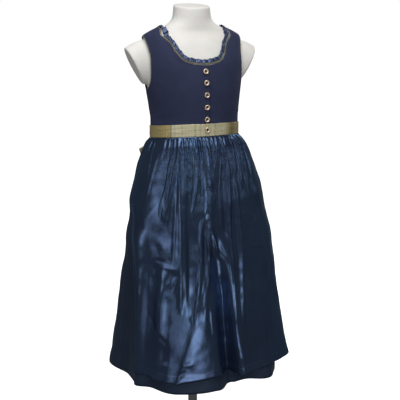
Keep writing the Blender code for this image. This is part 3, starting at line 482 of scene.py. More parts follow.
def cubic(first: float, second: float, leaving: float, arriving: float, t: float) -> float:
    """A smooth step between two values, with the slopes that it leaves and arrives at.

    Args:
        first: the value at the start.
        second: the value at the end.
        leaving: the slope at the start.
        arriving: the slope at the end.
        t: the share of the way.

    Returns:
        The value there.
    """
    return (
        (2 * t**3 - 3 * t**2 + 1) * first
        + (t**3 - 2 * t**2 + t) * leaving
        + (3 * t**2 - 2 * t**3) * second
        + (t**3 - t**2) * arriving
    )


def curve_through(rows: Sequence[Edge], share: float) -> Edge:
    """Reads a smooth curve through the rows.

    Args:
        rows: the places that the curve passes.
        share: a place from 0, the first row, to len(rows) - 1, the last.

    Returns:
        The place on the curve.
    """
    last = len(rows) - 1
    index = min(int(share), last - 1)
    before, after = rows[max(index - 1, 0)], rows[min(index + 2, last)]
    columns = zip(before, rows[index], rows[index + 1], after)
    return Edge(*(cubic(b, c, (c - a) / 2.0, (d - b) / 2.0, share - index) for a, b, c, d in columns))


@dataclass(frozen=True)
class Profile:
    """Smooth curves through a table of sections."""

    rows: tuple[Section, ...]

    def slope(self, index: int, column: int) -> float:
        """The slope at a row of a curve that never overshoots the table.

        Args:
            index: the row.
            column: the measure's column.

        Returns:
            The slope.
        """
        if index in (0, len(self.rows) - 1):
            return 0.0
        before, here, after = self.rows[index - 1 : index + 2]
        first = (here[column] - before[column]) / (here.height - before.height)
        second = (after[column] - here[column]) / (after.height - here.height)
        if first * second <= 0.0:
            return 0.0
        return 2.0 * first * second / (first + second)

    @lru_cache(maxsize=20000)
    def at(self, height: float) -> Section:
        """The section at this height.

        Args:
            height: the height.

        Returns:
            Its measures there.
        """
        if height <= self.rows[0].height:
            return self.rows[0]
        for index, (low, high) in enumerate(zip(self.rows, self.rows[1:])):
            if height > high.height:
                continue
            span = high.height - low.height
            values = [height]
            for column in range(1, len(low)):
                slopes = (self.slope(row, column) * span for row in (index, index + 1))
                values.append(cubic(low[column], high[column], *slopes, (height - low.height) / span))
            return Section(*values)
        return self.rows[-1]


FORM = Profile(FORM_ROWS)
SKIRT = Profile(SKIRT_ROWS)


def band_tilt(angle: float) -> float:
    """How much lower the waist lies here than at centre front."""
    return -BAND_DROP_TO_BACK * (1.0 - math.cos(math.radians(angle))) / 2.0


def moved_out(surface: Place, across: float, height: float, out: float, step: float) -> Vector:
    """A surface's point moved along its normal.

    Args:
        surface: gives a point for a place across and a height.
        across: the place across.
        height: the height.
        out: how far to move.
        step: a small step across, over which the normal is found.

    Returns:
        The moved point.
    """
    rise = 0.0008
    sideways = surface(across + step, height) - surface(across - step, height)
    up = surface(across, height + rise) - surface(across, height - rise)
    return surface(across, height) + sideways.cross(up).normalized() * out


def form_point(angle: float, height: float) -> Vector:
    """A point of the torso form.

    Args:
        angle: the place round the body.
        height: the height.

    Returns:
        The point.
    """
    section = FORM.at(height)
    turn = math.radians(angle)
    depth = section.front if math.cos(turn) > 0 else section.back
    across = section.shift + section.half_width * math.sin(turn)
    return Vector((across, -depth * math.cos(turn), height))


def on_form(angle: float, height: float, out: float = 0.0) -> Vector:
    """A point moved out from the torso form."""
    return moved_out(form_point, angle, height, out, 0.25)


def form_normal(angle: float, height: float) -> Vector:
    """The torso form's outward direction."""
    return (on_form(angle, height, 0.01) - on_form(angle, height)).normalized()


def fold_rise(fold: Fold, angle: float, height: float, ease: float = 0.25) -> float:
    """How far a fold pushes the cloth out, or in.

    Args:
        fold: the fold.
        angle: the place round the dress.
        height: the height.
        ease: the share of the fold's length over which it grows.

    Returns:
        The push in metres, in if it is below 0.
    """
    down = (fold.high - height) / (fold.high - fold.low)
    start, span = FADE_BEFORE_END if fold.low > APRON_HEM else FADE_AT_HEM
    if down <= 0.0 or down > start + span:
        return 0.0
    share = min(down, 1.0)
    offset = wrapped(angle - mix(fold.angle_high, fold.angle_low, share))
    reach = fold.left if offset < 0 else fold.right
    if abs(offset) > FOLD_REACH * reach:
        return 0.0
    fade = smooth(down / ease) * (1.0 - smooth((down - start) / span))
    return mix(fold.rise_high, fold.rise_low, share) * fade * bell(offset / reach)


def track_rise(track: Track, angle: float, height: float) -> float:
    """How far a bent fold line lifts the cloth.

    Args:
        track: the line.
        angle: the place round the dress.
        height: the height.

    Returns:
        The lift in metres, eased in and out at the line's ends.
    """
    top, low = track.places[0].height, track.places[-1].height
    if not low < height < top:
        return 0.0
    for upper, lower in zip(track.places, track.places[1:]):
        if height >= lower.height:
            break
    middle = mix(upper.angle, lower.angle, (upper.height - height) / (upper.height - lower.height))
    offset = angle - middle
    reach = track.left if offset < 0 else track.right
    if abs(offset) > TRACK_REACH * reach:
        return 0.0
    ease = min(TRACK_EASE, TRACK_EASE_SHARE * (top - low))
    fade = smooth((top - height) / ease) * smooth((height - low) / ease)
    return track.rise * fade * bell(offset / reach)


def hem_lift(lifts: Sequence[Lift], angle: float) -> float:
    """How far a hem rises above its level here.

    Args:
        lifts: the hem's rises and falls, by angle.
        angle: the place round the dress.

    Returns:
        The rise in metres.
    """
    turn = wrapped(angle)
    for before, after in zip(lifts, lifts[1:]):
        if turn <= after.angle:
            part = smooth((turn - before.angle) / (after.angle - before.angle))
            return mix(before.rise, after.rise, part)
    return lifts[-1].rise


def soft_most(first: float, second: float, blend: float) -> float:
    """The greater of two values, rounded over where they meet. Never less than the second."""
    gap = first - second
    return second + (gap + math.hypot(gap, blend)) / 2.0


def pucker_rise(pucker: Pucker, angle: float, height: float, radius: float) -> float:
    """How far a pucker lifts the cloth.

    Args:
        pucker: the short ridge.
        angle: the place round the body.
        height: the height.
        radius: the body's radius here, which turns degrees into metres.

    Returns:
        The lift in metres.
    """
    if abs(height - (pucker.height + pucker.end_height) / 2.0) > PUCKER_BAND:
        return 0.0
    scale = math.radians(1.0) * radius
    ahead_x = (pucker.end_angle - pucker.angle) * scale
    ahead_z = pucker.end_height - pucker.height
    length = math.hypot(ahead_x, ahead_z)
    x, z = wrapped(angle - pucker.angle) * scale, height - pucker.height
    along = (x * ahead_x + z * ahead_z) / length / length
    if along <= 0.0 or along >= 1.0:
        return 0.0
    off = (x * ahead_z - z * ahead_x) / length / pucker.half_width
    return pucker.rise * math.sin(math.pi * along) * bell(off)


def crumple(point: Vector, bumps: Sequence[Crumple]) -> float:
    """A small uneven push from smooth noise, the same on each run."""
    return sum(noise.noise(point * bump.scale) * bump.depth for bump in bumps)


def plain_radius(angle: float, height: float) -> float:
    """The skirt's radius without folds.

    Args:
        angle: the place round the dress.
        height: the height.

    Returns:
        The radius in metres.
    """
    section = SKIRT.at(height)
    turn = math.radians(angle)
    depth = section.front if math.cos(turn) > 0 else section.back
    return 1.0 / math.hypot(math.sin(turn) / section.half_width, math.cos(turn) / depth)


def gather_fade(height: float, length: float) -> float:
    """1 just below the band, falling to 0 over this length."""
    below = BAND_BOTTOM - height
    return smooth(below / GATHER_GROWN) * (1.0 - smooth((below - GATHER_HELD) / length))


def hung_point(angle: float, height: float, radius: float) -> Vector:
    """A point of the skirt or apron, which hang level with the waist's tilt.

    Args:
        angle: the place round the dress.
        height: the height before the tilt.
        radius: how far it is from the axis.

    Returns:
        The point.
    """
    down = (BAND_BOTTOM - height) / (BAND_BOTTOM - HEM)
    turn = math.radians(angle)
    waist = SKIRT_ROWS[-1]
    on_waist = math.atan2(math.sin(turn) / waist.half_width, math.cos(turn) / waist.front)
    lift = band_tilt(math.degrees(on_waist)) * min(1.0 - down, 1.0)
    return facing(angle) * radius + Vector((SKIRT.at(height).shift, 0.0, height + lift))


def lap_step(across: float) -> float:
    """How far the lapped front stands out, by distance past the edge of what lies under."""
    return (BODICE_WALL + LAP_GAP) * (1.0 - smooth(across / LAP_FADE))


def closing_step(angle: float, height: float, lapped: bool = False) -> float:
    """The height of the lap at centre front.

    Args:
        angle: the place round the body.
        height: the height.
        lapped: True on the lapped front itself, where the step holds to its edge.

    Returns:
        How far the cloth stands out there.
    """
    turn = math.radians(angle)
    if math.cos(turn) < 0.0:
        return 0.0
    across = FORM.at(height).half_width * math.sin(turn)
    if across < 0.0 or lapped:
        return lap_step(-across - LAP_UNDER - LAP_ROOM)
    return lap_step(across - LAP_OVER - OVERLAY_ROOM)


@dataclass(frozen=True)
class EdgeLine:
    """A cut edge of the bodice or ruche, read by its length on the form."""

    rows: tuple[Edge, ...]

    @lru_cache(maxsize=8)
    def fine(self) -> tuple[list[Edge], list[float]]:
        """Close places along the edge, and the length up to each."""
        places = [curve_through(self.rows, (len(self.rows) - 1) * i / 240.0) for i in range(241)]
        lengths = [0.0]
        for a, b in zip(places, places[1:]):
            lengths.append(lengths[-1] + (form_point(*b) - form_point(*a)).length)
        return places, lengths

    @property
    def length(self) -> float:
        """The edge's whole length."""
        return self.fine()[1][-1]

    def at(self, share: float) -> Edge:
        """The place at this share of the length. Below 0 it lies past the centre line.

        Args:
            share: the share of the edge's length.

        Returns:
            The place.
        """
        if share < 0.0:
            past = self.at(-share)
            return Edge(2.0 * self.rows[0].angle - past.angle, past.height)
        places, lengths = self.fine()
        wanted = min(share, 1.0) * lengths[-1]
        low, high = 0, len(lengths) - 1
        while high - low > 1:
            middle = (low + high) // 2
            if lengths[middle] <= wanted:
                low = middle
            else:
                high = middle
        part = (wanted - lengths[low]) / (lengths[high] - lengths[low])
        return Edge(*(mix(a, b, part) for a, b in zip(places[low], places[high])))


# Each edge's front half and back half
NECK = (EdgeLine(NECK_FRONT), EdgeLine(NECK_BACK))
RUCHE = (EdgeLine(RUCHE_FRONT), EdgeLine(RUCHE_BACK))
ARMHOLE = (EdgeLine(ARMHOLE_FRONT), EdgeLine(ARMHOLE_BACK))


def along_both(halves: tuple[EdgeLine, EdgeLine], share: float) -> Edge:
    """A place on an edge's front half, up to a share of 0.5, and back along its back half."""
    front, back = halves
    return front.at(share * 2.0) if share <= 0.5 else back.at(2.0 - share * 2.0)


def round_neck(halves: tuple[EdgeLine, EdgeLine], share: float) -> Edge:
    """A place all round the neck, 0 and 1 at centre front, by way of the wearer's left."""
    spot = along_both(halves, 2.0 * min(share, 1.0 - share))
    return spot if share <= 0.5 else Edge(-spot.angle, spot.height)


def round_armhole(side: Side, share: float) -> Edge:
    """A place all round an armhole, 0 and 1 under the arm."""
    spot = along_both(ARMHOLE, share if side is Side.LEFT else 1.0 - share)
    return Edge(spot.angle * side.value, spot.height)


# Meshes


def bent_grid(columns: int, rows: int, place: Place, size: tuple[float, float]) -> Shape:
    """A grid of cloth bent into its place, with a UV map in metres of cloth.

    Args:
        columns: cells across.
        rows: cells down.
        place: gives the point for shares across and down, both from 0 to 1.
        size: the cloth's width and length in metres, for the UV map.

    Returns:
        The bent grid.
    """
    sheet = bmesh.new()
    uv = sheet.loops.layers.uv.new("cloth")
    bmesh.ops.create_grid(sheet, x_segments=columns, y_segments=rows, size=0.5)
    shares = {vert: (vert.co.x + 0.5, 0.5 - vert.co.y) for vert in sheet.verts}
    for face in sheet.faces:
        for loop in face.loops:
            across, down = shares[loop.vert]
            loop[uv].uv = (across * size[0], -down * size[1])
    for vert, (across, down) in shares.items():
        vert.co = place(across, down)
    return sheet


def add_piece(
    name: str,
    shape: Shape,
    material: Material,
    sharp: float = 60.0,
) -> bpy.types.Object:
    """Makes a smooth shaded object of a bmesh and frees it.

    Args:
        name: the piece's name.
        shape: its mesh.
        material: its finish.
        sharp: edges sharper than this many degrees stay sharp.

    Returns:
        The object, linked to the scene.
    """
    mesh = bpy.data.meshes.new(name)
    shape.to_mesh(mesh)
    shape.free()
    mesh.shade_smooth()
    mesh.set_sharp_from_angle(angle=math.radians(sharp))
    mesh.materials.append(material)
    piece = bpy.data.objects.new(name, mesh)
    bpy.context.scene.collection.objects.link(piece)
    return piece


def thicken(piece: bpy.types.Object, wall: float, lining: Material | None = None) -> None:
    """Gives a cloth shell its thickness inwards, with a lining if one is given.

    Args:
        piece: the shell.
        wall: its thickness.
        lining: the finish of its inner face, if that has its own.
    """
    solid = piece.modifiers.new("wall", "SOLIDIFY")
    solid.thickness = wall
    solid.offset = -1.0
    solid.use_even_offset = False
    if lining is not None:
        piece.data.materials.append(lining)
        solid.material_offset = 1


def weld(shape: Shape, capped: bool = False) -> None:
    """Joins the points that lie together, and closes the open ends if they are to be capped."""
    bmesh.ops.remove_doubles(shape, verts=shape.verts, dist=WELD)
    if capped:
        cap(shape)


def cap(shape: Shape) -> None:
    """Closes every open end with a face."""
    bmesh.ops.holes_fill(shape, edges=[edge for edge in shape.edges if edge.is_boundary])


def face_out(shape: Shape) -> None:
    """Turns all faces outwards."""
    bmesh.ops.recalc_face_normals(shape, faces=shape.faces)


def settle(piece: bpy.types.Object, slot: str, *nodes: str) -> None:
    """Puts a finished piece on the frame.

    Args:
        piece: the piece.
        slot: the record's material slot; not used.
        nodes: the CAD nodes that it stands for.
    """
    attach(piece, BODY)
    if nodes:
        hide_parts(*nodes)
    LOG.info("%s: %d faces, stands for %s", piece.name, len(piece.data.polygons), nodes or "none")


def lathe(profile: Sequence[Turning], steps: int, closed: bool = False) -> Shape:
    """Turns a profile about the vertical axis.

    Args:
        profile: the points, from the bottom up.
        steps: how many steps make the full turn.
        closed: True joins the last point to the first, for a ring.

    Returns:
        The turned shape. Its UV map "cloth" holds the shares of its radius and of its height.
    """
    shape = bmesh.new()
    verts = [shape.verts.new((place.radius, 0.0, place.height)) for place in profile]
    pairs = list(zip(verts, verts[1:])) + ([(verts[-1], verts[0])] if closed else [])
    edges = [shape.edges.new(pair) for pair in pairs]
    bmesh.ops.spin(
        shape,
        geom=verts + edges,
        cent=(0.0, 0.0, 0.0),
        axis=(0.0, 0.0, 1.0),
        angle=math.tau,
        steps=steps,
        use_merge=True,
    )
    bmesh.ops.remove_doubles(shape, verts=shape.verts, dist=WELD / 2.0)
    face_out(shape)
    uv = shape.loops.layers.uv.new("cloth")
    widest = max(place.radius for place in profile)
    highest = max(place.height for place in profile)
    for face in shape.faces:
        for loop in face.loops:
            spot = loop.vert.co
            loop[uv].uv = (math.hypot(spot.x, spot.y) / widest, spot.z / highest)
    return shape


# Finishes


@dataclass
class Nodes:
    """A material's node tree, with short ways to add and join nodes."""

    name: str
    material: Material = field(init=False)
    shader: bpy.types.Node = field(init=False)

    def __post_init__(self) -> None:
        """Makes the material with its Principled shader."""
        self.material = bpy.data.materials.new(self.name)
        self.material.use_nodes = True
        self.shader = self.material.node_tree.nodes["Principled BSDF"]

    def add(self, kind: str, **values: object) -> bpy.types.Node:
        """Adds a node and sets its properties or unlinked inputs by name.

        Args:
            kind: the node's type name.
            values: properties in lower case, inputs with their own names and _ for a space.

        Returns:
            The node.
        """
        node = self.material.node_tree.nodes.new(kind)
        for key, value in values.items():
            if key[0].isupper():
                node.inputs[key.replace("_", " ")].default_value = value
            else:
                setattr(node, key, value)
        return node

    def join(self, source: Socket, target: Socket) -> None:
        """Links an output to an input."""
        self.material.node_tree.links.new(source, target)

    def place(self, coordinate: str, *scale: float) -> Socket:
        """Texture coordinates, scaled by three factors or left as they are."""
        source = self.add("ShaderNodeTexCoord")
        mapping = self.add("ShaderNodeMapping", Scale=scale or (1.0, 1.0, 1.0))
        self.join(source.outputs[coordinate], mapping.inputs["Vector"])
        return mapping.outputs["Vector"]

    def turned(self, place: Socket, degrees: float) -> Socket:
        """Texture coordinates, turned in the cloth."""
        mapping = self.add("ShaderNodeMapping", Rotation=(0.0, 0.0, math.radians(degrees)))
        self.join(place, mapping.inputs["Vector"])
        return mapping.outputs["Vector"]

    def split(self, place: Socket) -> bpy.types.Node:
        """Texture coordinates as separate numbers."""
        node = self.add("ShaderNodeSeparateXYZ")
        self.join(place, node.inputs[0])
        return node

    def noise(self, place: Socket, scale: float = 1.0, detail: float = 2.0) -> Socket:
        """Noise from 0 to 1 at these coordinates."""
        node = self.add("ShaderNodeTexNoise", Scale=scale, Detail=detail, Roughness=0.55)
        self.join(place, node.inputs["Vector"])
        return node.outputs["Fac"]

    def bands(self, place: Socket, direction: str, per_metre: float) -> Socket:
        """Even bands across the cloth, so many in a metre."""
        node = self.add("ShaderNodeTexWave", bands_direction=direction, Scale=per_metre * 0.314)
        self.join(place, node.inputs["Vector"])
        return node.outputs["Fac"]

    def weave(self, place: Socket, threads: float) -> Socket:
        """Threads both ways, so many in a metre."""
        return self.sum(self.bands(place, "X", threads), self.bands(place, "Y", threads), 1.0)

    def sum(self, first: Socket, second: Socket, share: float) -> Socket:
        """The first value plus a share of the second."""
        node = self.add("ShaderNodeMath", operation="MULTIPLY_ADD")
        self.join(second, node.inputs[0])
        node.inputs[1].default_value = share
        self.join(first, node.inputs[2])
        return node.outputs[0]

    def ramp(self, value: Socket, *stops: tuple[float, Colour]) -> Socket:
        """Colours by a value, at stops of (position, colour)."""
        node = self.add("ShaderNodeValToRGB")
        self.join(value, node.inputs["Fac"])
        points = node.color_ramp.elements
        while len(points) < len(stops):
            points.new(0.5)
        for point, (position, colour) in zip(points, stops):
            point.position, point.color = position, (*colour, 1.0)
        return node.outputs["Color"]

    def colour(self, value: Socket, *stops: tuple[float, Colour]) -> None:
        """The surface's colour by a value."""
        self.join(self.ramp(value, *stops), self.shader.inputs["Base Color"])

    def roughness(self, value: Socket, low: float, high: float) -> None:
        """Roughness between two values."""
        node = self.add("ShaderNodeMapRange", To_Min=low, To_Max=high)
        self.join(value, node.inputs["Value"])
        self.join(node.outputs["Result"], self.shader.inputs["Roughness"])

    def bump(self, height: Socket, depth: float, strength: float) -> None:
        """Bump of this depth in metres."""
        node = self.add("ShaderNodeBump", Strength=strength, Distance=depth)
        self.join(height, node.inputs["Height"])
        self.join(node.outputs["Normal"], self.shader.inputs["Normal"])

    def set(self, **values: object) -> None:
        """Sets the shader's own inputs, with _ for a space."""
        for key, value in values.items():
            self.shader.inputs[key.replace("_", " ")].default_value = value


@dataclass(frozen=True)
class Finish:
    """A finish, known by its name."""

    name: str

    def build(self) -> Material:
        """The material."""
        nodes = Nodes(self.name)
        self.paint(nodes)
        return nodes.material

    def paint(self, nodes: Nodes) -> None:
        """Lays the finish's textures into the nodes."""
        raise NotImplementedError


@dataclass(frozen=True)
class WoolFinish(Finish):
    """Matte milled wool: a soft nap over a fine twill."""

    name: str = "navy_wool_cloth"
    deep: Colour = (0.019, 0.024, 0.054)
    light: Colour = (0.036, 0.043, 0.092)
    sheen: Colour = (0.35, 0.40, 0.62)
    twill: float = 1100.0
    twill_angle: float = 52.0

    def paint(self, nodes: Nodes) -> None:
        """Wide clouds and fine fibres in the colour, fibres and twill in the bump."""
        cloth = nodes.place("UV")
        wide = nodes.noise(cloth, 9.0, 3.0)
        fibres = nodes.noise(nodes.place("UV", 900.0, 2600.0, 1.0))
        nodes.colour(nodes.sum(wide, fibres, 0.5), (0.35, self.deep), (1.05, self.light))
        rib = nodes.bands(nodes.turned(cloth, self.twill_angle), "X", self.twill)
        nodes.bump(nodes.sum(fibres, rib, 0.6), 0.00025, 0.5)
        nodes.roughness(fibres, 0.82, 0.98)
        nodes.set(Specular_IOR_Level=0.15, Sheen_Weight=0.10, Sheen_Roughness=0.45)
        nodes.set(Sheen_Tint=(*self.sheen, 1.0))


@dataclass(frozen=True)
class WovenFinish(Finish):
    """A plain woven cloth, from dull cotton to glossy taffeta."""

    deep: Colour
    light: Colour
    rough: tuple[float, float]
    gloss: float
    tint: Colour
    metal: float
    grain: float
    threads: float
    depth: float
    slubs: float
    sheen: float

    def paint(self, nodes: Nodes) -> None:
        """Wide clouds and uneven yarns in the colour, the weave in the bump."""
        cloth = nodes.place("UV")
        wide = nodes.noise(cloth, 6.0, 3.0)
        weft = nodes.noise(nodes.place("UV", 22.0, 1500.0, 1.0))
        warp = nodes.noise(nodes.place("UV", 1100.0, 14.0, 1.0))
        yarn = nodes.sum(weft, warp, 0.6)
        nodes.colour(nodes.sum(wide, yarn, self.slubs), (0.3, self.deep), (1.1, self.light))
        nodes.bump(nodes.sum(nodes.weave(cloth, self.threads), yarn, 0.8), self.depth, 0.4)
        nodes.roughness(yarn, *self.rough)
        nodes.set(Specular_IOR_Level=self.gloss, Specular_Tint=(*self.tint, 1.0), Metallic=self.metal)
        nodes.set(Anisotropic=self.grain, Sheen_Weight=self.sheen, Sheen_Roughness=0.4)
        nodes.set(Sheen_Tint=(*self.tint, 1.0))


@dataclass(frozen=True)
class BandFinish(Finish):
    """The band's satin: golden at both ends, paler between in a painted sheen, with dark and grey stripes of
    painted shade where it creases and laps, streaked along and across.
    """

    name: str = "band_satin"
    length: float = 0.215
    threads: float = 1300.0
    # The pale colour is a painted sheen on the band's middle; the shade and grey colours are painted shade in
    # stripes where the band creases and where its end laps
    gold: Colour = (0.38, 0.31, 0.13)
    shade: Colour = (0.20, 0.165, 0.08)
    pale: Colour = (0.55, 0.515, 0.34)
    grey: Colour = (0.44, 0.415, 0.30)
    dim: Colour = (0.74, 0.73, 0.72)
    clear: Colour = (1.12, 1.12, 1.10)

    def paint(self, nodes: Nodes) -> None:
        """The colours from end to end, with the painted sheen and the painted shade of the creases, dimmed
        and cleared by the streaks.
        """
        along = nodes.split(nodes.place("UV", 1.0 / BAND_HEIGHT, -1.0 / self.length, 1.0))
        # Painted sheen along the middle, painted shade in stripes at the creases and the lapped end
        spread = nodes.ramp(
            along.outputs["Y"],
            (0.0, self.gold), (0.070, self.gold), (0.080, self.shade), (0.090, self.grey),
            (0.105, self.pale), (0.125, self.grey), (0.145, self.pale), (0.40, self.pale),
            (0.74, self.pale), (0.80, self.gold), (0.86, self.shade), (0.96, self.gold),
        )
        upright = nodes.noise(nodes.place("UV", 3.0, 160.0, 1.0))
        level = nodes.noise(nodes.place("UV", 240.0, 14.0, 1.0))
        streaks = nodes.ramp(nodes.sum(upright, level, 0.9), (0.75, self.dim), (1.15, self.clear))
        blend = nodes.add("ShaderNodeMix", data_type="RGBA", blend_type="MULTIPLY")
        blend.inputs[0].default_value = 1.0
        nodes.join(spread, blend.inputs[6])
        nodes.join(streaks, blend.inputs[7])
        nodes.join(blend.outputs[2], nodes.shader.inputs["Base Color"])
        nodes.bump(nodes.sum(nodes.weave(nodes.place("UV"), self.threads), level, 0.8), 0.0001, 0.4)
        nodes.roughness(level, 0.30, 0.44)
        nodes.set(Metallic=0.25, Specular_IOR_Level=0.6, Anisotropic=0.5, Sheen_Weight=0.05)


@dataclass(frozen=True)
class ButtonFinish(Finish):
    """A button's metal: a pale ring, a painted highlight on the rim, round a dark, dished centre in painted
    shade, with painted shade also on the ring's slopes and outer edge.
    """

    name: str = "rose_brass"
    # The first colour is a painted highlight on the rim's top, the second painted shade on the ring's slopes
    # and outer edge, the third painted shade in the dished centre
    bright: Colour = (0.80, 0.70, 0.56)
    worn: Colour = (0.62, 0.42, 0.28)
    centre: Colour = (0.050, 0.025, 0.015)

    def paint(self, nodes: Nodes) -> None:
        """The painted highlight and painted shade by distance from the axis, shifted in patches of wear."""
        reach = nodes.split(nodes.place("UV"))
        patch = nodes.noise(nodes.place("Object"), 150.0, 3.0)
        # Painted highlight on the rim, painted shade on its slopes, on its outer edge and in the dished
        # centre
        nodes.colour(
            nodes.sum(reach.outputs["X"], patch, 0.10),
            (0.36, self.centre), (0.50, self.worn), (0.62, self.bright), (0.90, self.bright),
            (1.04, self.worn),
        )
        line = nodes.noise(nodes.place("Object", 2400.0, 2400.0, 2400.0))
        nodes.roughness(nodes.sum(patch, line, 0.4), 0.26, 0.46)
        nodes.bump(line, 0.00003, 0.3)
        nodes.set(Metallic=0.85)


@dataclass(frozen=True)
class CordFinish(Finish):
    """Twisted yarn: piping or sewing thread."""

    deep: Colour
    light: Colour
    twists: float
    twist_angle: float = 35.0

    def paint(self, nodes: Nodes) -> None:
        """The plies and their fibres."""
        cloth = nodes.place("UV")
        ply = nodes.bands(nodes.turned(cloth, self.twist_angle), "Y", self.twists)
        fibre = nodes.noise(cloth, 1400.0)
        tone = nodes.sum(ply, fibre, 0.6)
        nodes.colour(tone, (0.2, self.deep), (1.2, self.light))
        nodes.bump(tone, 0.0002, 0.6)
        nodes.roughness(fibre, 0.5, 0.75)
        nodes.set(Sheen_Weight=0.25, Specular_IOR_Level=0.4)


@dataclass(frozen=True)
class MetalFinish(Finish):
    """Worn metal: its colour, patches of tarnish, and fine scratches."""

    bright: Colour
    tarnish: Colour
    rough: tuple[float, float]
    patches: float
    scratch: float

    def paint(self, nodes: Nodes) -> None:
        """Tarnished patches in the colour, scratches in the bump."""
        patch = nodes.noise(nodes.place("Object"), self.patches, 4.0)
        nodes.colour(patch, (0.38, self.tarnish), (0.60, self.bright))
        line = nodes.noise(nodes.place("Object", 60.0, 60.0, 2400.0))
        nodes.roughness(nodes.sum(patch, line, 0.4), *self.rough)
        nodes.bump(line, self.scratch, 0.3)
        nodes.set(Metallic=1.0)


@dataclass(frozen=True)
class ShellFinish(Finish):
    """The form's off-white shell: faint mottling, a fine pebbled skin and handling marks."""

    name: str = "form_shell_white"
    clean: Colour = (0.80, 0.785, 0.75)
    soiled: Colour = (0.70, 0.68, 0.635)

    def paint(self, nodes: Nodes) -> None:
        """Clouds in the colour, pebbles in the bump."""
        here = nodes.place("Object")
        cloud = nodes.noise(here, 7.0, 5.0)
        pebble = nodes.noise(here, 900.0)
        nodes.colour(cloud, (0.30, self.soiled), (0.55, self.clean))
        nodes.roughness(nodes.sum(cloud, pebble, 0.3), 0.42, 0.72)
        nodes.bump(nodes.sum(pebble, cloud, 0.5), 0.00012, 0.35)
        nodes.set(Subsurface_Weight=0.08, Subsurface_Scale=0.01, Specular_IOR_Level=0.4)


def made(finish: Finish) -> Material:
    """A wardrobe's field, built from its finish when the wardrobe is made."""
    return field(default_factory=finish.build)


@dataclass
class Wardrobe:
    """Every finish of the dress and its form, built once."""

    wool: Material = made(WoolFinish())
    lining: Material = made(WovenFinish(
        "brown_lining", (0.020, 0.015, 0.012), (0.040, 0.030, 0.024), (0.45, 0.6), 0.4,
        (1.0, 0.9, 0.8), 0.0, 0.0, 1600.0, 0.00010, 0.3, 0.1,
    ))
    skirt: Material = made(WovenFinish(
        "navy_skirt_cotton", (0.009, 0.016, 0.036), (0.015, 0.025, 0.052), (0.42, 0.58), 0.5,
        (0.6, 0.75, 1.0), 0.2, 0.3, 1500.0, 0.00012, 0.3, 0.05,
    ))
    taffeta: Material = made(WovenFinish(
        "blue_taffeta", (0.040, 0.052, 0.110), (0.058, 0.100, 0.180), (0.13, 0.22), 0.5,
        (0.55, 0.75, 1.0), 0.82, 0.3, 1400.0, 0.00005, 0.25, 0.0,
    ))
    ruche: Material = made(WovenFinish(
        "ruche_satin", (0.012, 0.020, 0.052), (0.042, 0.060, 0.130), (0.16, 0.28), 0.9,
        (0.7, 0.8, 1.0), 0.5, 0.2, 1400.0, 0.00010, 0.5, 0.0,
    ))
    ribbon: Material = made(BandFinish())
    gold_ribbon: Material = made(WovenFinish(
        "golden_satin", (0.30, 0.24, 0.10), (0.42, 0.34, 0.155), (0.30, 0.42), 0.6,
        (1.0, 0.93, 0.75), 0.25, 0.5, 1300.0, 0.00010, 0.3, 0.1,
    ))
    # A lighter, greyer copy of the golden satin for the knot, loops and tails, brightened as painted light
    # where little light reaches the bow
    olive_ribbon: Material = made(WovenFinish(
        "olive_satin", (0.36, 0.345, 0.22), (0.50, 0.485, 0.34), (0.30, 0.42), 0.6,
        (1.0, 0.96, 0.82), 0.25, 0.5, 1300.0, 0.00010, 0.3, 0.1,
    ))
    cord: Material = made(CordFinish("olive_piping", (0.08, 0.08, 0.045), (0.18, 0.175, 0.11), 420.0))
    navy_thread: Material = made(
        CordFinish("navy_thread", (0.020, 0.026, 0.060), (0.055, 0.070, 0.140), 2400.0)
    )
    brass: Material = made(ButtonFinish())
    chrome: Material = made(
        MetalFinish("stand_chrome", (0.44, 0.44, 0.44), (0.34, 0.34, 0.34), (0.08, 0.20), 18.0, 0.00002)
    )
    shell: Material = made(ShellFinish())


# Sewing


@dataclass
class StitchRow:
    """A row of machine stitches that lie on a seam."""

    length: float = 0.0026
    gap: float = 0.0009
    thickness: float = 0.00030
    flat: float = 0.8

    def sew(self, shape: Shape, route: Sequence[tuple[Vector, Vector]]) -> None:
        """Adds stitches along a route.

        Args:
            shape: the mesh that takes the stitches.
            route: close points of the seam, each with the cloth's outward direction.
        """
        left = 0.0
        for (a, out), (b, _) in zip(route, route[1:]):
            step = b - a
            while left < step.length:
                middle = a + step * (left / step.length)
                self.stitch(shape, middle, step, out)
                left += self.length + self.gap
            left -= step.length

    def stitch(self, shape: Shape, middle: Vector, along: Vector, out: Vector) -> None:
        """Adds one stitch, a small rounded length of thread, a little flattened.

        Args:
            shape: the mesh that it goes into.
            middle: its middle.
            along: its direction.
            out: the cloth's outward direction.
        """
        along = along.normalized()
        side = out.cross(along).normalized()
        turn = Matrix((along, side, along.cross(side))).transposed().to_4x4()
        size = Matrix.Diagonal((self.length / 2.0, self.thickness, self.thickness * self.flat, 1.0))
        bmesh.ops.create_icosphere(
            shape, subdivisions=1, radius=1.0, matrix=Matrix.Translation(middle) @ turn @ size
        )


# The bodice


class Trim(NamedTuple):
    """A piped edge: the piping's node, and the edge all round.

    Beside it lie the cord, this gap off and this long in its UV map, and the seam's points.
    """

    node: str
    ring: Ring
    gap: float
    long: float
    seam_points: int


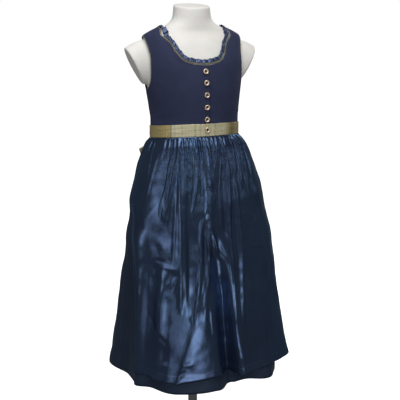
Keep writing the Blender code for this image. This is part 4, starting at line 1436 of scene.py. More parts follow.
@dataclass
class Bodice:
    """The lined wool bodice: two fronts, the back, the piping, the ruche and the stitches."""

    wardrobe: Wardrobe
    shell: float = 0.0014
    columns: int = 56
    lower_rows: int = 34
    upper_rows: int = 56
    centre_rows: float = 4.0
    strap_rows: float = 10.0
    strap_ease: float = 1.15
    side_gap: float = 0.08
    crumples: tuple[Crumple, ...] = table(Crumple, (34.0, 0.0005), (11.0, 0.0006))
    band_clear: float = 0.002
    band_fade: float = 0.02
    deepest: float = -0.0004
    cord_radius: float = 0.0012
    cord_round: float = 0.0075
    cord_cell: float = 0.0016
    ply_depth: float = 0.07
    ply_turn: float = 1.3
    ruche_waves: int = 42
    ruche_swing: float = 0.0021
    ruche_uneven: Wave = Wave(0.35, 0.37, 1.0)
    ruche_warp: Wave = Wave(0.5, 0.43, 0.0)
    ruche_overtone: Wave = Wave(0.25, 2.0, 1.1)
    ruche_seam: float = 0.40
    ruche_lean: float = 0.0006
    ruche_lift: float = 0.0006
    ruche_deepest: float = -0.0020
    ruche_shell: float = 0.0004
    ruche_uv: tuple[float, float] = (0.95, 0.018)
    seam_inset: float = 0.0028
    thread_lift: float = 0.0001
    hole_from: float = 0.002
    hole_to: float = -0.0125
    hole_lip: float = 0.0006
    hole_stitches: int = 26

    def build(self) -> None:
        """Makes every piece of the bodice."""
        for side in Side:
            self.front(side)
        self.back()
        trims = [Trim("neck_piping", partial(round_neck, NECK), 0.0012, 0.50, 400)]
        for side in Side:
            trims.append(Trim(f"armhole_piping_{side.word}", partial(round_armhole, side), 0.0004, 0.33, 260))
        for trim in trims:
            self.cord(trim)
        self.ruche()
        self.stitches(trims)

    def surface(self, angle: float, height: float, raised: float) -> Vector:
        """The outer face of the cloth, with its puckers, which end above the band.

        Args:
            angle: the place round the body.
            height: the height.
            raised: how far the lap lifts it.

        Returns:
            The point.
        """
        radius = FORM.at(height).half_width
        lift = sum(pucker_rise(pucker, angle, height, radius) for pucker in BODICE_PUCKERS)
        lift += crumple(form_point(angle, height), self.crumples)
        keep = smooth((height - BAND_BOTTOM - BAND_HEIGHT - self.band_clear) / self.band_fade)
        return on_form(angle, height, EASE + BODICE_WALL + raised + max(lift * keep, self.deepest))

    def panel(self, half: int, past: float, across: float, down: float) -> Edge:
        """A place on the half panel on the wearer's left.

        Args:
            half: 0 for the front, 1 for the back.
            past: the share of the neckline by which the panel passes the centre.
            across: 0 at the centre or neckline, 1 at the side or armhole.
            down: 0 at the shoulder, 1 at the waist.

        Returns:
            The place.
        """
        neck, armhole = NECK[half], ARMHOLE[half]
        upper_part = self.upper_rows / (self.upper_rows + self.lower_rows)
        row = (1.0 - min(down / upper_part, 1.0)) * (self.centre_rows + self.strap_rows)
        lower = 1.0 - max((down - upper_part) / (1.0 - upper_part), 0.0)
        start = neck.at(-past)
        if row <= self.centre_rows:
            inner = Edge(start.angle, mix(UNDERARM, start.height, row / self.centre_rows))
        else:
            inner = neck.at(((row - self.centre_rows) / self.strap_rows) ** self.strap_ease)
        outer = armhole.at(row / (self.centre_rows + self.strap_rows))
        angle = mix(inner.angle, outer.angle, across)
        top = mix(inner.height, outer.height, smooth(across))
        height = mix(WAIST_SEAM + band_tilt(angle), top, lower)
        if half == 0:
            return Edge(min(angle, 90.0 - self.side_gap), height)
        return Edge(max(angle, 90.0 + self.side_gap), height)

    def sewn(self, node: str, columns: int, place: Place, size: tuple[float, float]) -> bpy.types.Object:
        """A lined panel on its node.

        Args:
            node: the CAD node that it stands for.
            columns: cells across.
            place: gives its points.
            size: the cloth's width and length, for the UV map.

        Returns:
            The panel.
        """
        shape = bent_grid(columns, self.upper_rows + self.lower_rows, place, size)
        piece = add_piece(f"{node}_cloth", shape, self.wardrobe.wool)
        thicken(piece, self.shell, self.wardrobe.lining)
        settle(piece, "bodice_wool", node)
        return piece

    def front(self, side: Side) -> None:
        """One front. The wearer's right laps over the left.

        Args:
            side: the wearer's side.
        """
        lap = (LAP_UNDER if side is Side.LEFT else LAP_OVER) / NECK[0].length

        def place(across: float, down: float) -> Vector:
            """A point of this front."""
            spot = self.panel(0, lap, across if side is Side.LEFT else 1.0 - across, down)
            angle = spot.angle * side.value
            raised = closing_step(angle, spot.height, True) if side is Side.RIGHT else 0.0
            return self.surface(angle, spot.height, raised)

        piece = self.sewn(f"bodice_front_{side.word}", self.columns, place, (0.19, 0.24))

    def back(self) -> None:
        """The back, in one piece from side seam to side seam."""

        def place(across: float, down: float) -> Vector:
            """A point of the back."""
            spot = self.panel(1, 0.0, abs(across * 2.0 - 1.0), down)
            return self.surface(spot.angle if across < 0.5 else 360.0 - spot.angle, spot.height, 0.0)

        piece = self.sewn("bodice_back", self.columns * 2, place, (0.36, 0.26))

    def beside(self, ring: Ring, share: float, gap: float, out: float = 0.0) -> tuple[Vector, Vector]:
        """A point beside a cut edge of the cloth.

        Args:
            ring: the edge all round.
            share: the place on it.
            gap: how far past the edge, below 0 on the cloth.
            out: how far out from the middle of the wall.

        Returns:
            The point and the outward direction.
        """
        spot = ring(share)
        ahead, behind = ring((share + 0.004) % 1.0), ring((share - 0.004) % 1.0)
        along = (form_point(*ahead) - form_point(*behind)).normalized()
        normal = form_normal(*spot)
        level = EASE + BODICE_WALL / 2.0 + closing_step(*spot) + out
        return on_form(*spot, level) + normal.cross(along).normalized() * gap, normal

    def cord(self, trim: Trim) -> None:
        """A corded piping round an edge, and its node's replacement.

        Args:
            trim: the edge and its piping.
        """
        cells = int(trim.long / self.cord_cell)
        gap = self.cord_radius + trim.gap

        def place(across: float, down: float) -> Vector:
            """A point of the cord: two plies that twist round each other."""
            middle, normal = self.beside(trim.ring, down % 1.0, gap)
            ahead, _ = self.beside(trim.ring, (down + 0.003) % 1.0, gap)
            along = (ahead - middle).normalized()
            side = along.cross(normal).normalized()
            turn = across * math.tau
            reach = self.cord_radius * (
                1.0 + self.ply_depth * math.cos(2.0 * turn - down * cells * self.ply_turn)
            )
            return middle + (side * math.cos(turn) + side.cross(along) * math.sin(turn)) * reach

        shape = bent_grid(12, cells, place, (self.cord_round, trim.long))
        weld(shape)
        face_out(shape)
        piece = add_piece(f"{trim.node}_cord", shape, self.wardrobe.cord, ALL_SMOOTH)
        settle(piece, "piping_cord", trim.node)

    def ruche(self) -> None:
        """The gathered strip inside the neckline, pinched at its seam and waved at its edge."""

        def place(across: float, down: float) -> Vector:
            """A point of the strip, 0 down at its free edge."""
            near = round_neck(NECK, across % 1.0)
            far = round_neck(RUCHE, across % 1.0)
            share = mix(1.0, self.ruche_seam, down)
            turn = across * self.ruche_waves * math.tau
            wave = math.sin(turn + swing(turn, self.ruche_warp)) + swing(turn, self.ruche_overtone)
            reach = self.ruche_swing * mix(0.3, 0.95, (1.0 - down) ** 0.7)
            reach *= 1.0 + swing(turn, self.ruche_uneven)
            spot = Edge(mix(near.angle, far.angle, share), mix(near.height, far.height, share))
            lean = self.ruche_lean * math.cos(turn) * (1.0 - down)
            out = EASE + BODICE_WALL + self.ruche_lift + max(wave * reach * 0.8, self.ruche_deepest)
            out += closing_step(*spot) * (1.0 - share)
            return on_form(spot.angle, spot.height + lean, out)

        shape = bent_grid(self.ruche_waves * 16, 10, place, self.ruche_uv)
        weld(shape)
        piece = add_piece("neck_ruche_satin", shape, self.wardrobe.ruche, ALL_SMOOTH)
        thicken(piece, self.ruche_shell)
        settle(piece, "apron_satin", "neck_ruche")

    def stitches(self, trims: Sequence[Trim]) -> None:
        """Machine stitches beside the piping, and the buttonholes.

        Args:
            trims: the piped edges.
        """
        shape, row = bmesh.new(), StitchRow(thickness=0.00022)
        lift = BODICE_WALL / 2.0 + self.thread_lift
        for trim in trims:
            shares = [i / trim.seam_points for i in range(1, trim.seam_points)]
            row.sew(shape, [self.beside(trim.ring, share, -self.seam_inset, lift) for share in shares])
        for height in BUTTON_HEIGHTS:
            self.buttonhole(shape, height)
        settle(add_piece("bodice_stitches", shape, self.wardrobe.navy_thread, ALL_SMOOTH), "bodice_wool")

    def buttonhole(self, shape: Shape, height: float) -> None:
        """Close stitches along both lips of a level slit that runs in from the button.

        Args:
            shape: the mesh that the stitches go into.
            height: the button's height.
        """
        row = StitchRow(length=0.0013, thickness=0.00022)
        radius = FORM.at(height).half_width
        for i in range(self.hole_stitches):
            share = i / (self.hole_stitches - 1)
            angle = math.degrees(mix(self.hole_from, self.hole_to, share) / radius)
            out = EASE + BODICE_WALL + closing_step(angle, height, True) + self.thread_lift
            for lip in (self.hole_lip, -self.hole_lip):
                middle = on_form(angle, height + lip, out)
                row.stitch(shape, middle, Vector((0.0, 0.0, 1.0)), form_normal(angle, height))


@dataclass
class Buttons:
    """Six turned metal buttons: a rolled, finely milled ring round a dished centre."""

    wardrobe: Wardrobe
    radius: float = 0.0068
    depth: float = 0.0034
    milled_lines: float = 36.0
    milled_depth: float = 0.00009
    milled_from: float = 0.55
    milled_to: float = 0.95
    profile: tuple[Turning, ...] = table(
        Turning,
        (0.00, 0.00), (0.76, 0.00), (0.90, 0.12), (0.985, 0.34), (1.00, 0.52), (0.97, 0.74), (0.88, 0.93),
        (0.76, 1.00), (0.64, 0.96), (0.54, 0.82), (0.46, 0.60), (0.40, 0.42), (0.32, 0.34), (0.20, 0.36),
        (0.15, 0.50), (0.08, 0.56), (0.00, 0.58),
    )

    def build(self) -> None:
        """Makes the front buttons and the one on the band."""
        out = EASE + BODICE_WALL + lap_step(0.0) + SEAM_GAP
        for number, height in enumerate(BUTTON_HEIGHTS, 1):
            seat = on_form(0.0, height, out)
            self.button(f"button_{number}", seat, form_normal(0.0, height), 17.0 * number)
        seat = Ribbon.lying(0.0, BAND_BOTTOM + BAND_HEIGHT / 2.0, 0.0019)
        self.button("band_button", seat, Vector((0.0, -1.0, 0.0)), 40.0)

    def button(self, node: str, seat: Vector, outward: Vector, turned: float) -> None:
        """One button.

        Args:
            node: the CAD node that it stands for.
            seat: the middle of its underside.
            outward: its axis.
            turned: how far it is turned about the axis, in degrees.
        """
        points = [Turning(p.radius * self.radius, p.height * self.depth) for p in self.profile]
        shape = lathe(points, 72)
        for vert in shape.verts:
            reach = math.hypot(vert.co.x, vert.co.y) / self.radius
            milled = smooth((reach - self.milled_from) / 0.10) * smooth((self.milled_to - reach) / 0.08)
            turn = math.atan2(vert.co.y, vert.co.x)
            vert.co.z += self.milled_depth * milled * math.cos(self.milled_lines * turn)
        tip = Vector((0.0, 0.0, 1.0)).rotation_difference(outward).to_matrix().to_4x4()
        spun = Matrix.Rotation(math.radians(turned), 4, "Z")
        bmesh.ops.transform(shape, matrix=Matrix.Translation(seat) @ tip @ spun, verts=shape.verts)
        settle(add_piece(f"{node}_metal", shape, self.wardrobe.brass), "button_brass", node)


@dataclass
class Skirt:
    """The gathered skirt: a front and a back width, seamed at the sides, with a turned hem."""

    wardrobe: Wardrobe
    shell: float = 0.0008
    gathers: float = 30.0
    gather_rise: float = 0.0024
    gather_length: float = 0.16
    gather_phase: float = 180.0
    gather_strength: tuple[float, Wave] = (0.75, Wave(0.35, 5.0, math.radians(40.0)))
    gather_share: tuple[float, Wave] = (0.6, Wave(0.4, 13.0, 0.0))
    fine_rate: float = 2.3
    fine_rise: float = 0.0007
    fine_length: float = 0.06
    bared: float = 86.0
    creased: float = 56.0
    side_fade: float = 12.0
    crease_ease: float = 0.35
    crumples: tuple[Crumple, ...] = table(Crumple, (13.0, 0.0030), (36.0, 0.0010))
    crumpled_below: float = 0.80
    side_seam: float = 96.0
    seam_gap: float = 0.03
    seam_dip: float = 0.0007
    seam_width: float = 0.7
    hem_depth: float = 0.032
    hem_rise: float = 0.0005
    length: float = 0.66
    rows: int = 120

    def build(self) -> None:
        """Makes both widths and the hem's stitches."""
        self.width("skirt_front", -self.side_seam, self.side_seam, 220, 0.70)
        self.width("skirt_back", self.side_seam, 360.0 - self.side_seam, 200, 0.58)
        self.stitches()

    def radius(self, angle: float, height: float) -> float:
        """The outer face's radius, with folds, gathers and creases.

        Args:
            angle: the place round the dress.
            height: the height.

        Returns:
            The radius in metres.
        """
        folds = sum(fold_rise(fold, angle, height) for fold in SKIRT_FOLDS)
        turn, phase = math.radians(angle), math.radians(angle * self.gathers + self.gather_phase)
        strength = self.gather_strength[0] + swing(turn, self.gather_strength[1])
        share = self.gather_share[0] + swing(turn, self.gather_share[1])
        off_front = abs(wrapped(angle))
        bared = smooth((off_front - self.bared) / self.side_fade)
        gather = self.gather_rise * strength * bared * math.cos(phase)
        gather *= gather_fade(height, self.gather_length * share)
        fine = self.fine_rise * bared * math.sin(phase * self.fine_rate + 1.0)
        fine *= gather_fade(height, self.fine_length)
        creases = sum(fold_rise(fold, angle, height, self.crease_ease) for fold in SKIRT_CREASES)
        creases *= smooth((off_front - self.creased) / self.side_fade)
        return plain_radius(angle, height) + folds + gather + fine + creases

    def surface(self, angle: float, height: float) -> Vector:
        """A point of the outer face, with the soft unevenness of hanging cloth.

        Args:
            angle: the place round the dress.
            height: the height.

        Returns:
            The point.
        """
        height += hem_lift(SKIRT_HEM_LIFTS, angle) * smooth((HEM + HEM_SWAY - height) / HEM_SWAY)
        radius = self.radius(angle, height)
        low = smooth((self.crumpled_below - height) / 0.2)
        radius += crumple(hung_point(angle, height, radius), self.crumples) * low
        turned = smooth((HEM + self.hem_depth - height) / 0.003) * self.hem_rise
        return hung_point(angle, height, radius + turned)

    def level(self, down: float) -> float:
        """The height at a share down the cloth, with closer rows at the gathers."""
        return mix(WAIST_SEAM - 0.001, HEM, down**1.12)

    def width(self, node: str, first: float, last: float, columns: int, cut: float) -> None:
        """One width of the skirt between two seams, cut this wide.

        Args:
            node: the CAD node that it stands for.
            first: the angle of its first seam.
            last: the angle of its last seam.
            columns: cells across.
            cut: the flat cloth's width.
        """

        def place(across: float, down: float) -> Vector:
            """A point of this width. Its edges dip a little into the seams."""
            near = min(across, 1.0 - across) * abs(last - first)
            angle = mix(first + self.seam_gap, last - self.seam_gap, across)
            point = self.surface(angle, self.level(down))
            return point - facing(angle) * self.seam_dip * bell(near / self.seam_width)

        size = (cut, self.length)
        shape = bent_grid(columns, self.rows, place, size)
        piece = add_piece(f"{node}_cloth", shape, self.wardrobe.skirt, ALL_SMOOTH)
        thicken(piece, self.shell)
        settle(piece, "skirt_cotton", node)

    def stitches(self) -> None:
        """The row of stitches that holds the hem."""
        shape, row = bmesh.new(), StitchRow(length=0.0022, gap=0.0042, thickness=0.00018)
        route = []
        for i in range(900):
            out = facing(i * 0.4)
            route.append((self.surface(i * 0.4, HEM + self.hem_depth + 0.001) + out * 0.0001, out))
        row.sew(shape, route)
        settle(add_piece("skirt_hem_stitches", shape, self.wardrobe.navy_thread, ALL_SMOOTH), "skirt_cotton")


@dataclass
class Apron:
    """The glossy taffeta apron, gathered on the band and falling in crisp folds."""

    wardrobe: Wardrobe
    skirt: Skirt
    shell: float = 0.0006
    gathers: float = 26.0
    gather_rise: float = 0.00264
    gather_warp: tuple[Wave, ...] = table(Wave, (0.22, 1.7, 0.0), (0.10, 4.1, 1.0))
    gather_strength: float = 0.70
    strength_waves: tuple[Wave, ...] = table(Wave, (0.62, 2.3, 0.7), (0.50, 5.3, 0.0))
    least_strength: float = 0.06
    gather_length: float = 0.050
    length_waves: tuple[Wave, ...] = table(Wave, (0.035, 1.9, 0.4), (0.020, 3.7, 0.0))
    least_length: float = 0.02
    gather_edge: float = 1.3
    pinch: Wave = Wave(0.08, 2.0, 0.8)
    clear: float = 0.0026
    clear_below: float = 0.0050
    top_angles: tuple[float, float] = (-102.0, 90.0)
    hem_angles: tuple[float, float] = (-68.5, 66.0)
    settled: float = 0.10
    crumples: tuple[Crumple, ...] = table(Crumple, (16.0, 0.0026), (45.0, 0.0009))
    hem_depth: float = 0.02
    side_hem: float = 0.012
    hem_rise: float = 0.0005
    hem_width: float = 0.62
    cut: tuple[float, float] = (0.58, 0.61)
    columns: int = 330
    rows: int = 145

    def build(self) -> None:
        """Makes the apron and its stitches."""
        shape = bent_grid(self.columns, self.rows, self.surface, self.cut)
        piece = add_piece("apron_taffeta", shape, self.wardrobe.taffeta, ALL_SMOOTH)
        thicken(piece, self.shell)
        settle(piece, "apron_satin", "apron")
        self.stitches()

    def gather(self, wave: float, height: float) -> float:
        """The gathers below the band, each with its own strength and length.

        Args:
            wave: the place across, counted in gathers.
            height: the height.

        Returns:
            The lift in metres.
        """
        strength = max(self.gather_strength + swing(wave, *self.strength_waves), self.least_strength)
        length = max(self.gather_length + swing(wave, *self.length_waves), self.least_length)
        turn = math.tau * (wave + swing(wave, *self.gather_warp))
        ridge = (0.5 - 0.5 * math.cos(turn)) ** self.gather_edge + swing(turn, self.pinch)
        return self.gather_rise * strength * ridge * gather_fade(height, length)

    def surface(self, across: float, down: float) -> Vector:
        """A point of the apron's outer face, 0 down at the band.

        Args:
            across: the share across, from the wearer's right.
            down: the share down from the band.

        Returns:
            The point.
        """
        height = mix(BAND_BOTTOM - SEAM_GAP, APRON_HEM, down**1.2)
        spread = (BAND_BOTTOM - height) / (BAND_BOTTOM - APRON_HEM)
        first, last = (mix(top, hem, spread) for top, hem in zip(self.top_angles, self.hem_angles))
        angle = mix(first, last, across)
        height += hem_lift(APRON_HEM_LIFTS, angle) * smooth((APRON_HEM + HEM_SWAY - height) / HEM_SWAY)
        below = BAND_BOTTOM - height
        clear = mix(self.clear, self.clear_below, smooth(below / 0.03))
        folds = sum(fold_rise(fold, angle, height) for fold in APRON_FOLDS)
        tracks = sum(track_rise(track, angle, height) for track in APRON_TRACKS)
        tracks *= smooth(below / 0.010)
        base = plain_radius(angle, height)
        least = self.skirt.radius(angle, height) + clear
        raised = mix(least, base + clear + folds, smooth(across / self.settled))
        radius = soft_most(raised, least, 0.0012) + self.gather(across * self.gathers, height)
        radius += soft_most(tracks, -0.7 * clear, 0.0004)
        radius += sum(pucker_rise(pucker, angle, height, base) for pucker in APRON_WRINKLES)
        radius += crumple(hung_point(angle, height, radius), self.crumples) * smooth(below / 0.10)
        inward = self.side_hem - min(across, 1.0 - across) * self.hem_width
        upward = APRON_HEM + self.hem_depth - height
        turned = self.hem_rise * max(smooth(inward / 0.002), smooth(upward / 0.002))
        return hung_point(angle, height, radius + turned)

    def stitches(self) -> None:
        """The stitches of the side and bottom hems."""
        shape, row = bmesh.new(), StitchRow(thickness=0.00016)
        paths = (
            [(0.018, i / 300.0) for i in range(3, 292)],
            [(mix(0.018, 0.982, i / 400.0), 0.972) for i in range(401)],
            [(0.982, i / 300.0) for i in range(292, 3, -1)],
        )
        for path in paths:
            route = []
            for across, down in path:
                point = self.surface(across, down)
                side = self.surface(across + 0.004, down) - self.surface(across - 0.004, down)
                drop = self.surface(across, down + 0.004) - self.surface(across, down - 0.004)
                out = drop.cross(side).normalized()
                route.append((point + out * 0.0001, out))
            row.sew(shape, route)
        settle(add_piece("apron_stitches", shape, self.wardrobe.navy_thread, ALL_SMOOTH), "apron_satin")


@dataclass
class Ribbon:
    """The apron's satin ribbon: the band, the ties round to the back, and the bow."""

    wardrobe: Wardrobe
    wall: float = 0.0012
    shell: float = 0.0006
    band_seam: float = 55.0
    tie_end: float = 176.5
    bow: tuple[float, float] = (0.0065, 0.0970)
    knot_half: tuple[float, float, float] = (0.014, 0.007, 0.018)
    loop_y: float = 0.0050
    wide: float = 0.032
    narrow: float = 0.020
    opening: float = 0.040
    loop_length: float = 0.1135
    loop_droop: float = 46.0
    loop_end_droop: float = 34.0
    loop_lean: float = 33.0
    loop_end_lean: float = 18.0
    loop_bulge: float = 0.008
    loop_fold: float = 0.0056
    loop_pinch: float = 0.05
    loop_pleats: float = 2.5
    loop_pleat: float = 0.0010
    loop_cup: float = 0.0030
    loop_sag: float = 0.0012
    tail_length: float = 0.24
    tail_top: float = 0.0038
    tail_angle: float = 7.5
    tail_spread: float = 8.0
    tail_clear: float = 0.0013
    tail_clear_below: float = 0.0045
    tail_base: float = 0.0024
    tail_sway: float = 0.002
    tail_pinch: float = 0.2
    tail_pleat: float = 0.0006
    tail_curl: float = 0.0011
    tail_slant: float = 0.03
    edge_rise: float = 0.00022
    edge_width: float = 0.035
    crumples: tuple[Crumple, ...] = (Crumple(40.0, 0.0003),)
    puckers: tuple[Pucker, ...] = table(
        Pucker,
        (-71.0, 0.8745, -62.0, 0.8728, 0.0012, 0.0011),
        (-66.0, 0.8722, -56.5, 0.8738, 0.0012, 0.0011),
        (-54.5, 0.8738, -48.0, 0.8730, 0.0012, 0.0009),
        (-50.0, 0.8640, -20.0, 0.8665, 0.0030, 0.0004),
        (12.0, 0.8660, 40.0, 0.8635, 0.0030, 0.0005),
        (30.0, 0.8740, 52.0, 0.8700, 0.0020, 0.0005),
        (90.0, 0.8620, 118.0, 0.8600, 0.0026, 0.0006),
        (240.0, 0.8600, 264.0, 0.8640, 0.0026, 0.0006),
    )

    @staticmethod
    def lying(angle: float, height: float, out: float) -> Vector:
        """On the band's inner face, moved out. It lies on the bodice, also where that laps."""
        tilted = height + band_tilt(angle)
        under = EASE + BODICE_WALL + SEAM_GAP + 0.0001 + closing_step(angle, tilted)
        return on_form(angle, tilted, under + out)

    @property
    def bow_height(self) -> float:
        """The height of the knot's middle."""
        return BAND_BOTTOM + BAND_HEIGHT / 2.0 - BAND_DROP_TO_BACK

    def build(self) -> None:
        """Makes the band, the ties and the bow."""
        w = self.wardrobe
        seam = self.band_seam
        self.length("band_front", -seam + 0.08, seam - 0.08, 260, 0.215, w.ribbon)
        self.length("tie_left", seam + 0.08, self.tie_end, 240, 0.215, w.gold_ribbon)
        self.length("tie_right", 360.0 - self.tie_end, 360.0 - seam - 0.08, 240, 0.215, w.gold_ribbon)
        self.knot()
        for side in Side:
            self.loop(side)
            self.tail(side)

    def strip(
        self, name: str, node: str, place: Place, cells: tuple[int, int], size: tuple[float, float],
        held: Held, material: Material,
    ) -> None:
        """One strip of ribbon with its woven edges.

        Args:
            name: the piece's name.
            node: the CAD node that it stands for.
            place: gives the points, across the width and along.
            cells: cells across the width and along.
            size: the ribbon's width and length.
            held: how it is held; not used.
            material: its finish.
        """
        piece = add_piece(name, bent_grid(*cells, place, size), material, ALL_SMOOTH)
        thicken(piece, self.shell)
        settle(piece, "ribbon_satin", node)

    def length(
        self, node: str, first: float, last: float, cells: int, long: float, material: Material
    ) -> None:
        """A length of the ribbon round the waist, from one angle to another.

        Args:
            node: the CAD node that it stands for.
            first: the angle where it starts.
            last: the angle where it ends.
            cells: cells along it.
            long: its length in metres.
            material: its finish.
        """

        def place(across: float, along: float) -> Vector:
            """A point of the ribbon, whose woven edges stand a hair proud."""
            angle = mix(first, last, along)
            height = BAND_BOTTOM + BAND_HEIGHT * (1.0 - across)
            edge = self.edge_rise * bell(min(across, 1.0 - across) / self.edge_width)
            radius = FORM.at(height).half_width
            lift = sum(pucker_rise(p, angle, height, radius) for p in self.puckers)
            ripple = crumple(form_point(angle, height), self.crumples)
            end = min(along, 1.0 - along) * abs(last - first)
            lift = (lift + ripple + 0.0003) * smooth(end / 1.2)
            return self.lying(angle, height, self.wall - 0.0003 + edge + lift)

        self.strip(f"{node}_ribbon", node, place, (16, cells), (BAND_HEIGHT, long), Held.LAID, material)

    def across_width(self, along: float) -> float:
        """The ribbon's width, drawn together at the knot."""
        return mix(self.narrow, self.wide, smooth(along / self.opening))

    def knot(self) -> None:
        """The knot: the ribbon wrapped once round the bow, in soft pleats."""
        half_x, half_y, half_z = self.knot_half
        centre = Vector((*self.bow, self.bow_height))

        def place(around: float, along: float) -> Vector:
            """A point of the knot, a rounded sleeve about the x axis."""
            turn = around * math.tau
            x = mix(-half_x, half_x, along)
            swell = (1.0 - abs(2.0 * along - 1.0) ** 5.0) ** 0.5 if 0.0 < along < 1.0 else 0.0
            pleat = 1.0 + 0.035 * math.cos(along * math.tau * 4.0 + 0.6 * math.sin(turn))
            reach = mix(0.80, 1.0, swell) * pleat * 0.965
            y = half_y * reach * math.copysign(abs(math.cos(turn)) ** 0.7, math.cos(turn))
            z = half_z * reach * math.copysign(abs(math.sin(turn)) ** 0.7, math.sin(turn))
            return centre + Vector((x, y, z))

        shape = bent_grid(56, 40, place, (0.086, 0.028))
        weld(shape, capped=True)
        face_out(shape)
        piece = add_piece("bow_knot_ribbon", shape, self.wardrobe.olive_ribbon, 70.0)
        settle(piece, "ribbon_satin", "bow_knot")

    def loop(self, side: Side) -> None:
        """A loop of the bow: out from the knot, round a soft fold, and back.

        Args:
            side: the wearer's side.
        """
        sign = side.value
        back = Vector((0.0, 1.0, 0.0))
        away = sign * (self.knot_half[0] + SEAM_GAP + self.loop_fold)
        start = Vector((self.bow[0] + away, self.bow[1] + self.loop_y, self.bow_height - 0.001))

        def place(width: float, length: float) -> Vector:
            """A point of the loop."""
            turn = math.pi * length
            share = 1.0 - abs(math.cos(turn)) ** 1.6
            droop = math.radians(mix(self.loop_droop, self.loop_end_droop, share))
            lean = math.radians(mix(self.loop_lean, self.loop_end_lean, share))
            along = Vector((sign * math.cos(droop), 0.0, -math.sin(droop)))
            across = Vector((sign * math.sin(lean), 0.0, math.cos(lean)))
            reach = self.loop_length * share
            swell = self.loop_bulge * math.cos(turn) * mix(0.25, 1.0, math.sin(turn))
            off = width - 0.5
            pinch = 1.0 - smooth(reach / self.loop_pinch)
            pleat = self.loop_pleat * pinch * math.cos(width * math.tau * self.loop_pleats)
            pleat = math.copysign(1.0, math.cos(turn)) * pleat
            cup = self.loop_cup * (off * off * 4.0 - 0.35) * math.sin(turn) * math.cos(turn)
            sag = self.loop_sag * math.sin(turn * 2.0 + 3.0 * off) * (1.0 - pinch)
            point = start + along * reach + back * (swell + pleat + cup + sag)
            return point + across * off * self.across_width(reach)

        self.strip(
            f"bow_loop_{side.word}_ribbon", f"bow_loop_{side.word}", place, (20, 120),
            (self.wide, 0.215), Held.FOLDED, self.wardrobe.olive_ribbon,
        )

    def tail(self, side: Side) -> None:
        """A tail of the bow, down over the back of the skirt, with a slanted end.

        Args:
            side: the wearer's side.
        """

        def base(angle: float, height: float) -> Vector:
            """The skirt's back without its hollows, which a tail passes over."""
            folds = sum(max(fold_rise(fold, angle, height), 0.0) for fold in SKIRT_FOLDS)
            return hung_point(angle, height, plain_radius(angle, height) + self.tail_base + folds)

        def place(width: float, length: float) -> Vector:
            """A point of the tail."""
            off = (width - 0.5) * side.value
            slant = 1.0 + self.tail_slant * off * smooth((length - 0.7) / 0.3)
            share = min(length * slant, 1.04)
            below = self.tail_length * share
            height = BAND_BOTTOM - self.tail_top - below
            section = SKIRT.at(height)
            plumb = math.degrees(math.atan2(section.shift - self.bow[0], section.back))
            angle = 180.0 + plumb - side.value * (self.tail_angle + self.tail_spread * share**0.6)
            out = mix(self.tail_clear, self.tail_clear_below, smooth(share * 4.0))
            out += self.tail_sway * math.sin(7.0 * share) * share
            pinch = 1.0 - smooth(share / self.tail_pinch)
            out += self.tail_pleat * pinch * math.cos(width * math.tau * 2.0)
            out += self.tail_curl * (off * off * 4.0) * (1.0 - pinch) * math.sin(5.0 * share + 0.5)
            point = moved_out(base, angle, height, out, 0.25)
            outward = (moved_out(base, angle, height, out + 0.01, 0.25) - point).normalized()
            sideways = Vector((-outward.y, outward.x, 0.0)).normalized()
            return point + sideways * (0.5 - width) * self.across_width(below)

        self.strip(
            f"bow_tail_{side.word}_ribbon", f"bow_tail_{side.word}", place, (16, 110),
            (self.wide, self.tail_length), Held.HUNG, self.wardrobe.olive_ribbon,
        )


class Stub(NamedTuple):
    """A section of the short arm, by its distance across from the middle of the body."""

    across: float
    top: float
    bottom: float
    half_depth: float


